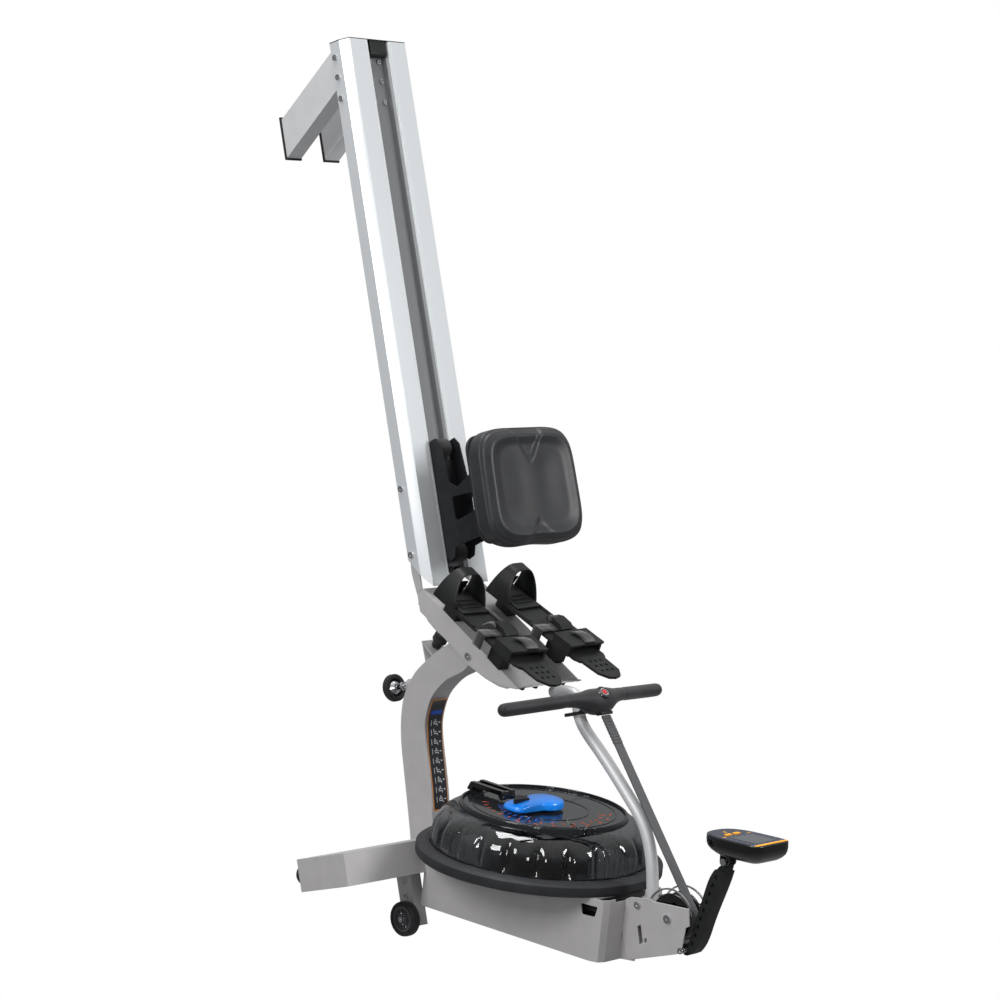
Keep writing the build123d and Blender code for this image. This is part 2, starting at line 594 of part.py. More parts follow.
# ---------------------------------------------------------------- water tank
with BuildPart() as tank_ring:
    ring_section(tank, [(120, 128.55), (RING_R - 3, 128.55), (RING_R, RING_Z0 + 3),
                        (RING_R, RING_Z1 - 3), (RING_R - 4, RING_Z1), (SHELL_R + 8, RING_Z1 + 4),
                        (SHELL_R + 0.1, RING_Z1 + 4), (SHELL_R + 0.1, RING_Z0 + 9),
                        (120, RING_Z0 + 9)])
    with put(along(B["u1"] + 0.4, 0, B["r1"] + 0.4)):       # rear underside clears the beam
        Box(200, 800, 200, align=(Align.MAX, Align.CENTER, Align.MAX), mode=Mode.SUBTRACT)
save(tank_ring, "tank_ring")

with BuildPart() as tank_bottom:             # bowl that holds the water, inside the ring
    ring_section(tank, [(9.06, RING_Z0 + 9.1), (SHELL_R - 4, RING_Z0 + 9.1), (SHELL_R - 4, 158),
                        (SHELL_R - 7, 158), (SHELL_R - 7, RING_Z0 + 13), (9.06, RING_Z0 + 13)])
save(tank_bottom, "tank_bottom")

with BuildPart() as tank_shell:              # clear cover
    ring_section(tank, [(SHELL_R, RING_Z0 + 10), (SHELL_R, 190), (226, 204), (214, 219),
                        (198, 231), (LID_R + 0.5, 238), (LID_R + 0.5, 234.4), (196, 227.8),
                        (210.6, 216.6), (222.4, 202.6), (227.4, 189), (227.4, RING_Z0 + 10)])
save(tank_shell, "tank_shell")

with BuildPart() as tank_lid:
    ring_section(tank, [(0, LID_Z), (LID_R - 4, LID_Z), (LID_R - 4, LID_Z + 3), (LID_R, LID_Z + 3),
                        (LID_R + 0.4, LID_Z - 9), (LID_R - 4, LID_Z - 9), (LID_R - 5, LID_Z - 4),
                        (0, LID_Z - 4)])
    rod(tank(LID_Z - 1), 10, 16)             # pin the adjuster turns on
save(tank_lid, "tank_lid")

with BuildPart() as inner_baffle:            # inner store wall the adjuster opens and shuts
    ring_section(tank, [(118, RING_Z0 + 13.1), (121, RING_Z0 + 13.1), (121, 214), (118, 214)])
    with BuildSketch(tank(RING_Z0 + 13)) as sk:
        with PolarLocations(119.5, 6):
            Rectangle(14, 40)
    extrude(sk.sketch, amount=34, mode=Mode.SUBTRACT)
save(inner_baffle, "inner_baffle")

with BuildPart() as impeller_shaft:
    rod(tank(40), 9, 192)
save(impeller_shaft, "impeller_shaft")
with BuildPart() as impeller:
    with BuildSketch(tank(150)) as sk:
        Circle(26)
        Circle(9.05, mode=Mode.SUBTRACT)
    extrude(sk.sketch, amount=40)
    with BuildSketch(tank(156)) as sk:
        with PolarLocations(62, 6):
            Rectangle(90, 5)
    extrude(sk.sketch, amount=28)
save(impeller, "impeller")
with BuildPart() as belt_drum:
    ring_section(tank, [(9.05, 52), (46, 52), (46, 54), (DRUM_R, 57), (DRUM_R, 87), (46, 90),
                        (46, 92), (9.05, 92)])
save(belt_drum, "belt_drum")

with BuildPart() as lid_grab:                # carrying bail beside the adjuster
    for y in (-45, -17):
        slab([(-178, LID_Z + 3.4), (-168, LID_Z + 22), (-76, LID_Z + 22), (-70, LID_Z + 3.4),
              (-82, LID_Z + 3.4), (-86, LID_Z + 12), (-160, LID_Z + 12), (-164, LID_Z + 3.4)],
             y - 5, y + 5, round_by=2.5, view=tank_side)
    slab([(-176, LID_Z + 3.4), (-167, LID_Z + 20), (-160, LID_Z + 20), (-164, LID_Z + 3.4)],
         -45, -17, view=tank_side)
    slab([(-84, LID_Z + 5), (-84, LID_Z + 20), (-76, LID_Z + 20), (-72, LID_Z + 5)],
         -45, -17, view=tank_side)
save(lid_grab, "lid_grab")

with BuildPart() as adjuster_lever:
    turned(tank(LID_Z + 0.4), [(0, 0), (37, 0), (42, 4), (42, 10), (37, 17), (24, 23), (0, 25)])
    with BuildSketch(tank(LID_Z + 3.4)) as sk:
        with BuildLine():
            Polyline((34, -10), (28, -52), (24, -98), (-4, -101), (-32, -55), (-36, 0), close=True)
        make_face()
        fillet(sk.vertices(), 8)
    extrude(sk.sketch, amount=16)
    rod(tank(LID_Z), 10.05, 16, mode=Mode.SUBTRACT)
save(adjuster_lever, "adjuster_lever")
with BuildPart() as adjuster_grip:
    with BuildSketch(tank(LID_Z + 19.45)) as sk:
        with BuildLine():
            Polyline((4, -50), (0, -88), (-6, -91), (-25, -60), (-20, -50), close=True)
        make_face()
        fillet(sk.vertices(), 4)
    extrude(sk.sketch, amount=9)
save(adjuster_grip, "adjuster_grip")
# ---------------------------------------------------------------- footplates
def foot_frame(sgn):
    """Footplate's own plane: x towards the toe, y across, z up off the plate."""
    u, r = fp(40, 24)
    flat = DU * FD[0] + DR * FD[1]
    up = DU * FN[0] + DR * FN[1]
    t = radians(FOOT_TILT)
    run = flat * cos(t) + up * sin(t)
    nrm = up * cos(t) - flat * sin(t)
    k = radians(FOOT_SPLAY) * sgn
    run = run * cos(k) + DY * sin(k)
    return Plane(P(u, sgn * 77, r), x_dir=run, z_dir=nrm)


def foot_side(fr, y):
    """Side view of a footplate: x towards the toe, y off the plate, normal across."""
    return Plane(fr.origin + fr.y_dir * y, x_dir=fr.x_dir, z_dir=-fr.y_dir)


def foot_slab(fr, points, y0, y1, mode=Mode.ADD, round_by=0):
    with BuildSketch(foot_side(fr, y1)) as sk:
        with BuildLine():
            Polyline(*points, close=True)
        make_face()
        if round_by:
            fillet(sk.vertices(), round_by)
    extrude(sk.sketch, amount=y1 - y0, mode=mode)


def foot_flat(fr, points, z0, z1, mode=Mode.ADD, round_by=0):
    with BuildSketch(fr.offset(z0)) as sk:
        with BuildLine():
            Polyline(*points, close=True)
        make_face()
        if round_by:
            fillet(sk.vertices(), round_by)
    extrude(sk.sketch, amount=z1 - z0, mode=mode)


HEEL = dict(x0=12.0, x1=108.0, half=43.0)
for sgn, tag in ((-1, "left"), (1, "right")):
    fr = foot_frame(sgn)
    with BuildPart() as footplate:
        foot_flat(fr, [(10, -40), (10, 40), (150, 44), (292, 48), (306, 40), (306, -40), (292, -48),
                       (150, -44)], 0, 6, round_by=4)
        for y in (-41, 41):                  # rails the heel cup slides along
            foot_slab(fr, [(14, 5.9), (14, 9), (150, 9), (150, 5.9)], y - 3, y + 3)
        # toe bridge: two posts and a cross band that the strap and toes go under
        for y0 in (-52, 46):
            foot_slab(fr, [(228, 0), (226, 24), (276, 24), (278, 0)], y0, y0 + 6)
        foot_slab(fr, [(224, 22), (224, 27), (280, 27), (280, 22)], -52, 52)
        # perforated tongue beyond the toe
        foot_flat(fr, [(290, -38), (290, 38), (352, 34), (372, 18), (376, 0), (372, -18), (352, -34)],
                  0.5, 6, round_by=3)
        with BuildSketch(fr.offset(-1)) as holes:
            for x in (312, 330, 348):
                with Locations((x, -16), (x, 0), (x, 16)):
                    Circle(4.2)
        extrude(holes.sketch, amount=10, mode=Mode.SUBTRACT)
        # standoffs down to the channel, cut flush with it
        for x0 in (30, 190):
            foot_flat(fr, [(x0, -14), (x0, 14), (x0 + 40, 14), (x0 + 40, -14)], -70, 0.5)
        u, r = fp(150, 0.06)
        with put(Plane(P(u, 0, r), x_dir=DY, z_dir=-(DU * FN[0] + DR * FN[1]))):
            Box(400, 700, 120, align=(Align.CENTER, Align.CENTER, Align.MIN), mode=Mode.SUBTRACT)
    save(footplate, f"footplate_{tag}")

    h = HEEL
    with BuildPart() as heel_cup:
        foot_flat(fr, [(h["x0"], -37.8), (h["x0"], 37.8), (h["x1"], 37.8), (h["x1"], -37.8)],
                  6.1, 10)
        foot_flat(fr, [(h["x0"] + 4, -h["half"]), (h["x0"] + 4, h["half"]), (h["x1"], h["half"]),
                       (h["x1"], -h["half"])], 9.2, 12.5)
        for y0 in (-h["half"], h["half"] - 3.5):   # side wings rise to the loop
            foot_slab(fr, [(h["x0"] + 2, 9.3), (h["x0"] + 16, 62), (h["x0"] + 34, 76),
                           (h["x0"] + 46, 70), (h["x1"], 9.3)], y0, y0 + 3.5)
        foot_slab(fr, [(h["x0"] + 22, 66), (h["x0"] + 31, 76.5), (h["x0"] + 47, 70.5),
                       (h["x0"] + 44, 65)], -h["half"], h["half"])
        # back wall below the finger hole
        foot_slab(fr, [(h["x0"] + 4, 12), (h["x0"] + 11, 34), (h["x0"] + 15, 33),
                       (h["x0"] + 8, 12)], -h["half"], h["half"])
        for x in (44, 58, 72):               # grip ribs
            foot_slab(fr, [(x, 12.4), (x, 15), (x + 4, 15), (x + 4, 12.4)], -30, 30)
    save(heel_cup, f"heel_cup_{tag}")

with BuildPart() as foot_straps:             # webbing over the toe bridge and round its sides
    for fr in (foot_frame(-1), foot_frame(1)):
        foot_slab(fr, [(164, 12), (164, 14.5), (204, 14.5), (204, 12)], -54.5, 54.5)
        for y0 in (-54.5, 52):
            foot_slab(fr, [(164, -22), (164, 14.5), (204, 14.5), (204, -22)], y0, y0 + 2.5)
save(foot_straps, "foot_straps")
with BuildPart() as strap_buckles:
    for fr in (foot_frame(-1), foot_frame(1)):
        foot_slab(fr, [(160, 14.8), (158, 22), (172, 27), (196, 25), (208, 18), (206, 14.8)],
                  -4, 34, round_by=1.5)
save(strap_buckles, "strap_buckles")

# ---------------------------------------------------------------- seat and carriage
with BuildPart() as seat_carriage:
    for y0 in (-30.4, 26.9):                 # side plates
        slab([(-2, 760), (8, 752), (24, 758), (30, 778), (44, 781), (95, 789), (204, 792),
              (204, 955), (150, 948), (95, 918), (60, 902), (40, 915), (30, 1000), (18, 1014),
              (2, 1010), (-2, 990)], y0, y0 + 3.5)
        slab([(42, 832), (92, 842), (150, 862), (150, 902), (100, 884), (42, 884)], y0 - 1, y0 + 5,
             round_by=6, mode=Mode.SUBTRACT)
    with put(along(5.5, 0, 884)):            # bed plate between the sides
        Box(4, 53.9, 170)
    slab([(3, 842), (8, 842), (8, 892), (3, 892)], -6, 6, mode=Mode.SUBTRACT)
    for r in (800, 870, 940):                # cross bars up at the seat
        with put(along(200, 0, r)):
            Box(8, 53.9, 22)
    for r in ROLLER_AT:
        rod(axle(0, -26.95, r), 5, 53.9)
save(seat_carriage, "seat_carriage")

for r, name in zip(ROLLER_AT, ("seat_roller_rear", "seat_roller_front")):
    with BuildPart() as roller:
        turned(axle(0, 0, r), [(5.05, -17), (18, -17), (ROLLER_R, -14), (ROLLER_R, 14), (18, 17),
                               (5.05, 17)])
    save(roller, name)

with BuildPart() as seat_pan:
    with BuildSketch(facing(SEAT_U0 + 0.1, 0, (SEAT_R0 + SEAT_R1) / 2)) as sk:
        RectangleRounded(2 * SEAT_HALF - 20, SEAT_R1 - SEAT_R0 - 20, 34)
    extrude(sk.sketch, amount=7)
save(seat_pan, "seat_pan")

with BuildPart() as seat_cushion:
    with BuildSketch(facing(SEAT_U0 + 7.4, 0, (SEAT_R0 + SEAT_R1) / 2)) as sk:
        RectangleRounded(2 * SEAT_HALF, SEAT_R1 - SEAT_R0, 44)
    extrude(sk.sketch, amount=50)
save(seat_cushion, "seat_cushion")

# ---------------------------------------------------------------- console
KD = radians(CONSOLE_DIR)
CX = (cos(KD), sin(KD))                      # console's long direction in (u, r)
CN = (-sin(KD), cos(KD))                     # out of its face


def cp(a, b):
    """(u, r) of a point a along the console and b off its face."""
    return (CONSOLE_AT[0] + CX[0] * a + CN[0] * b, CONSOLE_AT[1] + CX[1] * a + CN[1] * b)


def console_plane(b=0.0, a=63.0):
    u, r = cp(a, b)
    return Plane(P(u, 0, r), x_dir=DU * CX[0] + DR * CX[1], z_dir=DU * CN[0] + DR * CN[1])


with BuildPart() as console_case:
    slab([cp(-28, 0), cp(126, 0), cp(127, -30), cp(118, -41), cp(10, -36), cp(-24, -24)], -56, 56)
    with BuildSketch(console_plane(-50)) as sk:
        with BuildLine():
            Polyline((-110, -80), (-110, 80), (90, 80), (90, -80), close=True)
        make_face()
        with BuildLine():
            ThreePointArc((-42, 56.5), (-92, 0), (-42, -56.5))
            Polyline((-42, -56.5), (65, -56.5), (65, 56.5), (-42, 56.5))
        make_face(mode=Mode.SUBTRACT)
    extrude(sk.sketch, amount=60, mode=Mode.SUBTRACT)
    for y0 in (-13, 8):                      # knuckle ears under the case
        slab([cp(0, -26), cp(-6, -44), cp(0, -62), cp(12, -66), cp(24, -60), cp(30, -36)],
             y0, y0 + 5)
    rod(axle(cp(12, -56)[0], -20, cp(12, -56)[1]), 4.05, 40, mode=Mode.SUBTRACT)
    with put(console_plane(-1.2, 68)):       # pocket for the display
        Box(66, 62, 4, align=(Align.CENTER, Align.CENTER, Align.MIN), mode=Mode.SUBTRACT)
    for y in (-14, 12):
        with put(console_plane(-6, 20)):
            with Locations((0, y, 0)):
                Box(9, 16, 10, align=(Align.CENTER, Align.CENTER, Align.MIN), mode=Mode.SUBTRACT)
save(console_case, "console_case")

with BuildPart() as console_screen:
    with put(console_plane(-1.15, 68)):
        Box(65.6, 61.6, 1.4, align=(Align.CENTER, Align.CENTER, Align.MIN))
save(console_screen, "console_screen")
for y, name in ((-14, "console_button_left"), (12, "console_button_right")):
    with BuildPart() as button:
        with put(console_plane(-3.5, 20)):
            with Locations((0, y, 0)):
                Box(8.8, 15.8, 5.2, align=(Align.CENTER, Align.CENTER, Align.MIN))
    save(button, name)
with BuildPart() as console_pin:
    rod(axle(cp(12, -56)[0], -14.5, cp(12, -56)[1]), 4, 29)
    for y0 in (-17.5, 13.2):
        rod(axle(cp(12, -56)[0], y0, cp(12, -56)[1]), 7, 4.3)
save(console_pin, "console_pin")

K = cp(12, -56)                              # tilt pivot
ARM_PIVOT = (478.0, -108.0)
A_LOW = [(470, -114), (490, -90), (513, -54), (545, -5), (570, 30), (K[0] - 9, K[1] - 4)]
A_TOP = [(490, -118), (512, -100), (535, -68), (572, -18), (602, 22), (K[0] + 9, K[1] - 6)]
with BuildPart() as console_arm:
    with BuildSketch(side(15)) as sk:
        with BuildLine():
            a = Spline(*A_LOW)
            b = Spline(*A_TOP)
            Line(a @ 0, b @ 0)
            Line(a @ 1, b @ 1)
        make_face()
    extrude(sk.sketch, amount=30)
    rod(axle(ARM_PIVOT[0], -15, ARM_PIVOT[1]), 12, 30)
    rod(axle(ARM_PIVOT[0], -40, ARM_PIVOT[1]), 5.05, 80, mode=Mode.SUBTRACT)
    for t0 in range(9):                      # cable and lightening slots along the near side
        f = 0.12 + 0.09 * t0
        p, q = a @ f, b @ f
        mid = p * 0.55 + q * 0.45
        tang = (a % f)
        with put(Plane(P(mid.X, -15.1, mid.Y), x_dir=DU * tang.X + DR * tang.Y, z_dir=DY)):
            Box(9, 8, 4, align=(Align.CENTER, Align.CENTER, Align.MIN), mode=Mode.SUBTRACT)
    slab([cp(-8, -46), cp(-8, -75), cp(34, -75), cp(34, -46)], 7.9, 16, mode=Mode.SUBTRACT)
    slab([cp(-8, -46), cp(-8, -75), cp(34, -75), cp(34, -46)], -16, -7.9, mode=Mode.SUBTRACT)
    rod(axle(K[0], -7.8, K[1]), 9, 15.6)
    rod(axle(K[0], -40, K[1]), 4.05, 80, mode=Mode.SUBTRACT)
save(console_arm, "console_arm")
print(len(saved), "pieces")
for label, vol in saved.items():
    print(f"{label:22s} {vol / 1000:10.1f} cm3")
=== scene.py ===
# %% [markdown]
# # A water rowing machine, stored standing on end
#
# The machine's rail leans back at the wall, its nose and two small wheels stand on the floor, and
# a round tank of water sits low down. The exact CAD model of every hard part is loaded first and
# never moved. Blender gives those parts their finish, and remakes the soft, clear and moulded ones.

# %% Load the fixed frame
import math

import bmesh
import bpy
from mathutils import Matrix, Vector


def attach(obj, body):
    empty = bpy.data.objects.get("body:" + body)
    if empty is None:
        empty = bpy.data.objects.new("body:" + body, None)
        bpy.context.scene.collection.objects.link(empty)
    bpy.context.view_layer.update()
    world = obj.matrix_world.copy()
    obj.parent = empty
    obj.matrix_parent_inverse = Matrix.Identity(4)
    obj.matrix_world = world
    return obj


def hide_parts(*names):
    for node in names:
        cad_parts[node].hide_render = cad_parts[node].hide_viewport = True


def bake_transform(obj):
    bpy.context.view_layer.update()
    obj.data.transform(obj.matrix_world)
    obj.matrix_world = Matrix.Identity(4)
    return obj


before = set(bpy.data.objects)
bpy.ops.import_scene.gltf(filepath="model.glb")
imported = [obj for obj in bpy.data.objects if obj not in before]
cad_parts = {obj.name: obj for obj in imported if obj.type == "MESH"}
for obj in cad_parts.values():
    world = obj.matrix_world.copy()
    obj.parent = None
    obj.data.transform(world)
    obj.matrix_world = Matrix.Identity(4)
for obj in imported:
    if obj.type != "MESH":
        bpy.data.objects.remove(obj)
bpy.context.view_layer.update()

# %% [markdown]
# ## The machine's own directions
#
# Nothing on this machine is upright: the rail leans back 12 degrees and the tank is tipped 20
# degrees from the rail. Working in the machine's directions is easier than working in the room's.
# u points away from the seat side of the rail, r runs up the rail, and y goes across.

# %% Points in the machine's directions
LEAN, TANK_TILT = math.radians(12), math.radians(20)
MM = 0.001
U_AXIS = Vector((math.cos(LEAN), 0, math.sin(LEAN)))
R_AXIS = Vector((-math.sin(LEAN), 0, math.cos(LEAN)))
Y_AXIS = Vector((0, 1, 0))
MACHINE_ZERO = Vector((-0.03931, 0, 0.04593))
TANK_AXIS = R_AXIS * math.cos(TANK_TILT) + U_AXIS * math.sin(TANK_TILT)
TANK_FORWARD = U_AXIS * math.cos(TANK_TILT) - R_AXIS * math.sin(TANK_TILT)


def machine(u, y, r):
    return MACHINE_ZERO + (U_AXIS * u + Y_AXIS * y + R_AXIS * r) * MM


def place(origin, x_axis, y_axis, z_axis):
    """Matrix that carries a piece drawn at the origin, in millimetres, to its own directions."""
    m = Matrix((x_axis, y_axis, z_axis)).transposed() @ Matrix.Diagonal((MM, MM, MM))
    return Matrix.Translation(origin) @ m.to_4x4()


TANK = place(MACHINE_ZERO + TANK_FORWARD * 59.5 * MM, TANK_FORWARD, Y_AXIS, TANK_AXIS)
SEAT = place(machine(211.4, 0, 873), Y_AXIS, R_AXIS, U_AXIS)
print("tank axis", [round(c, 3) for c in TANK_AXIS])

# %% [markdown]
# ## Camera
#
# A long lens a good way off keeps the tall rail nearly straight. The camera is set by its own
# three directions, so that its level and its tilt are exact.

# %% Camera
camera = bpy.data.objects.new("camera", bpy.data.cameras.new("camera"))
camera.data.lens, camera.data.sensor_width = 106.21, 36
right, up = Vector((0.7257, 0.6880, -0.0024)), Vector((-0.0361, 0.0413, 0.9986))
camera.matrix_world = (Matrix.Translation((4.17949, -4.4809, 1.25383))
                       @ Matrix((right, up, right.cross(up))).transposed().to_4x4())
bpy.context.collection.objects.link(camera)
bpy.context.scene.camera = camera
print("camera", [round(c, 2) for c in camera.location])

# %% [markdown]
# ## Room and lamps
#
# A product studio. The background is white to the camera, but the room that lights the machine
# is darker round its horizon, so that black plastic stays black. Four square soft lights stand
# left, right, above and low in front. Large lights make soft edges on the metal and long
# highlights on the plastic.

# %% Room and lamps
ROOM_STRENGTH = 0.85
ROOM_SHADES = ((0.0, 0.62), (0.35, 0.16), (0.6, 0.30))     # height from below to above, grey
world = bpy.data.worlds.new("pale room")
bpy.context.scene.world = world
world.use_nodes = True
tree = world.node_tree
seen = tree.nodes["Background"]
seen.inputs["Color"].default_value = (1, 1, 1, 1)
felt = tree.nodes.new("ShaderNodeBackground")
felt.inputs["Strength"].default_value = ROOM_STRENGTH
spot = tree.nodes.new("ShaderNodeTexCoord")
height = tree.nodes.new("ShaderNodeSeparateXYZ")
shade = tree.nodes.new("ShaderNodeValToRGB")
for stop, grey in ROOM_SHADES:
    mark = shade.color_ramp.elements.new(stop) if stop else shade.color_ramp.elements[0]
    mark.color = (grey, grey, grey * 1.02, 1)
shade.color_ramp.elements[-1].color = (1, 1, 1, 1)
half = tree.nodes.new("ShaderNodeMapRange")
half.inputs["From Min"].default_value = -1.0
eye = tree.nodes.new("ShaderNodeLightPath")
blend = tree.nodes.new("ShaderNodeMixShader")
for a, b in ((spot.outputs["Generated"], height.inputs[0]), (height.outputs[2], half.inputs[0]),
             (half.outputs[0], shade.inputs[0]), (shade.outputs[0], felt.inputs[0]),
             (eye.outputs["Is Camera Ray"], blend.inputs[0]), (felt.outputs[0], blend.inputs[1]),
             (seen.outputs[0], blend.inputs[2]),
             (blend.outputs[0], tree.nodes["World Output"].inputs[0])):
    tree.links.new(a, b)
bpy.context.scene.view_settings.view_transform = "Standard"


def softbox(name, at, aim, size, watts):
    data = bpy.data.lights.new(name, "AREA")
    data.shape, data.size, data.energy = "SQUARE", size, watts
    lamp = bpy.data.objects.new(name, data)
    lamp.location = at
    lamp.rotation_euler = (Vector(aim) - Vector(at)).to_track_quat("-Z", "Y").to_euler()
    bpy.context.collection.objects.link(lamp)


softbox("key_softbox", (0.2, -3.6, 2.6), (-0.1, 0, 0.8), 1.5, 92)
softbox("side_softbox", (3.4, 1.4, 2.2), (0, 0, 0.7), 1.3, 90)
softbox("top_softbox", (-0.4, -0.2, 4.2), (0, 0, 0.6), 1.6, 90)
softbox("strip_light", (2.6, -3.4, 0.9), (0, 0, 0.3), 0.7, 26)

# %% [markdown]
# ## Finishes
#
# Every finish starts as a Principled shader and takes its small detail from noise read in the
# object's own space, so the grain stays the right size wherever the piece is. Three helpers do
# the repeated work: one reads a colour from its hex number, one adds a node and joins its inputs,
# and one starts a material.

# %% Helpers for materials
def hex_colour(text):
    channel = [int(text[i:i + 2], 16) / 255 for i in (1, 3, 5)]
    return [c / 12.92 if c <= 0.04045 else ((c + 0.055) / 1.055) ** 2.4 for c in channel] + [1]


def add(material, kind, **inputs):
    """New node; a tuple (node, output) joins, anything else sets the socket."""
    node = material.node_tree.nodes.new(kind)
    for name, value in inputs.items():
        name = int(name[1:]) if name[0] == "_" else name.replace("_", " ")
        if isinstance(value, tuple) and hasattr(value[0], "outputs"):
            material.node_tree.links.new(value[0].outputs[value[1]], node.inputs[name])
        else:
            node.inputs[name].default_value = value
    return node


def start_finish(name, colour, roughness, metallic=0.0):
    material = bpy.data.materials.new(name)
    material.use_nodes = True
    shader = material.node_tree.nodes["Principled BSDF"]
    shader.inputs["Base Color"].default_value = hex_colour(colour)
    shader.inputs["Roughness"].default_value = roughness
    shader.inputs["Metallic"].default_value = metallic
    return material, shader


def join(material, source, output, shader, socket):
    material.node_tree.links.new(source.outputs[output], shader.inputs[socket])


def grain(material, shader, size_mm, depth_mm, vary=None, stretch=(1, 1, 1), detail=3.0,
          rough=None):
    """Noise bump with grains of that size; vary is two hex colours it also drifts between."""
    place_node = add(material, "ShaderNodeTexCoord")
    turned = add(material, "ShaderNodeMapping", Vector=(place_node, "Object"), Scale=stretch)
    noise = add(material, "ShaderNodeTexNoise", Vector=(turned, 0), Scale=1000 / size_mm,
                Detail=detail)
    bump = add(material, "ShaderNodeBump", Height=(noise, 0), Distance=depth_mm * MM, Strength=0.6)
    join(material, bump, 0, shader, "Normal")
    if vary:
        broad = add(material, "ShaderNodeTexNoise", Vector=(turned, 0), Scale=1000 / size_mm / 40,
                    Detail=4.0)
        ramp = add(material, "ShaderNodeValToRGB", Fac=(broad, 0))
        ramp.color_ramp.elements[0].position, ramp.color_ramp.elements[1].position = 0.3, 0.7
        ramp.color_ramp.elements[0].color = hex_colour(vary[0])
        ramp.color_ramp.elements[1].color = hex_colour(vary[1])
        join(material, ramp, 0, shader, "Base Color")
    if rough:
        span = add(material, "ShaderNodeMapRange", Value=(noise, 0), To_Min=rough[0],
                   To_Max=rough[1])
        join(material, span, 0, shader, "Roughness")
    return noise


print("finish helpers ready")

# %% [markdown]
# ## Painted and plain metals
#
# The frame is powder coated: a sprayed, baked plastic paint with a fine orange-peel surface and
# tiny flakes. The rail is drawn aluminium, anodised, so its faint lines run along its length.

# %% Metal finishes
# silver-grey powder coat of the arm, the housing and the beam
powder_silver, shader = start_finish("powder_coat_silver", "#B0AEAF", 0.46, 0.2)
grain(powder_silver, shader, 0.9, 0.045, vary=("#ADABAC", "#B3B1B2"), rough=(0.4, 0.56))

# paler powder coat of the rear legs and the S-shaped tube
powder_pale, shader = start_finish("powder_coat_pale", "#C4C5C6", 0.42, 0.2)
grain(powder_pale, shader, 0.9, 0.04, vary=("#C1C2C3", "#C7C8C9"), rough=(0.36, 0.52))

# satin black powder coat of the seat's carriage
powder_black, shader = start_finish("powder_coat_black", "#17181A", 0.42)
grain(powder_black, shader, 0.8, 0.04, vary=("#141517", "#1C1D20"))

# clear-anodised drawn aluminium of the rail, with painted shade darkening it inside the seat's slot
anodised, shader = start_finish("anodised_aluminium", "#CDD1D3", 0.34, 0.35)
grain(anodised, shader, 0.5, 0.01, stretch=(1, 1, 0.02), rough=(0.25, 0.4))
where = add(anodised, "ShaderNodeTexCoord")
sides = add(anodised, "ShaderNodeSeparateXYZ", Vector=(where, "Object"))
across = add(anodised, "ShaderNodeMath", _0=(sides, 1))
across.operation = "ABSOLUTE"
# painted shade: near the middle across the rail (under about 30 mm either side) the slot's recess is
# coloured dark grey
slot_painted_shade = add(anodised, "ShaderNodeMapRange", Value=(across, 0), From_Min=0.0303, From_Max=0.0311)
ramp = add(anodised, "ShaderNodeValToRGB", Fac=(slot_painted_shade, 0))
ramp.color_ramp.elements[0].color = hex_colour("#77797B")
ramp.color_ramp.elements[1].color = hex_colour("#CDD1D3")
join(anodised, ramp, 0, shader, "Base Color")

# bright plated steel of the bolts, the guard wires and the levelling foot
plated, shader = start_finish("bright_plating", "#C9CACC", 0.16, 1.0)
grain(plated, shader, 2.5, 0.006, rough=(0.12, 0.24))

# plain turned steel of the pins
turned_steel, shader = start_finish("turned_steel", "#A9AAAC", 0.32, 1.0)
grain(turned_steel, shader, 0.6, 0.01, stretch=(1, 0.05, 1), rough=(0.26, 0.4))
print("metals", powder_silver.name, anodised.name, plated.name)

# %% [markdown]
# ## Plastics and rubber
#
# Moulded plastic copies the mould: spark-eroded steel leaves a fine matt grain on the foot parts,
# polished steel leaves the console and the adjuster glossy. Rubber is rougher still and a little
# brown or blue where light grazes it.

# %% Plastic and rubber finishes
# grained black nylon of the footplates, hooks, yoke and mast
grained_black, shader = start_finish("grained_black_plastic", "#191A1B", 0.5)
grain(grained_black, shader, 0.7, 0.05, vary=("#161718", "#1F2021"), rough=(0.42, 0.6))

# charcoal ring under the tank, with a coarser moulded grain
charcoal_plastic, shader = start_finish("charcoal_plastic", "#242528", 0.5)
grain(charcoal_plastic, shader, 1.1, 0.07, vary=("#212225", "#292A2D"), rough=(0.44, 0.62))

# polished black plastic
polished_black, shader = start_finish("polished_black_plastic", "#08090A", 0.14)
shader.inputs["Coat Weight"].default_value = 0.5
shader.inputs["Coat Roughness"].default_value = 0.06
grain(polished_black, shader, 6.0, 0.01, rough=(0.1, 0.2))

# black rubber of feet, bumpers, rollers and grips
soft_rubber, shader = start_finish("black_rubber", "#17181A", 0.62)
shader.inputs["Sheen Weight"].default_value = 0.12
grain(soft_rubber, shader, 0.5, 0.04, vary=("#141517", "#1D1E20"), rough=(0.55, 0.75))

# foam grip of the handle, closer to leather in its pores
grip_foam, shader = start_finish("black_grip_foam", "#1B1C1E", 0.56)
shader.inputs["Sheen Weight"].default_value = 0.15
grain(grip_foam, shader, 1.3, 0.09, vary=("#18191B", "#222326"), rough=(0.48, 0.66))

# bright blue gloss plastic of the tank's adjuster
adjuster_blue, shader = start_finish("gloss_blue_plastic", "#0F86F0", 0.2)
shader.inputs["Coat Weight"].default_value = 0.35
shader.inputs["Coat Roughness"].default_value = 0.08
grain(adjuster_blue, shader, 5.0, 0.012, vary=("#0C7DE6", "#148EF8"), rough=(0.16, 0.28))

# orange-yellow soft keys and stripe of the console
key_orange, shader = start_finish("orange_key_plastic", "#E9A21A", 0.42)
grain(key_orange, shader, 0.8, 0.03, vary=("#E39A12", "#EFAB26"))

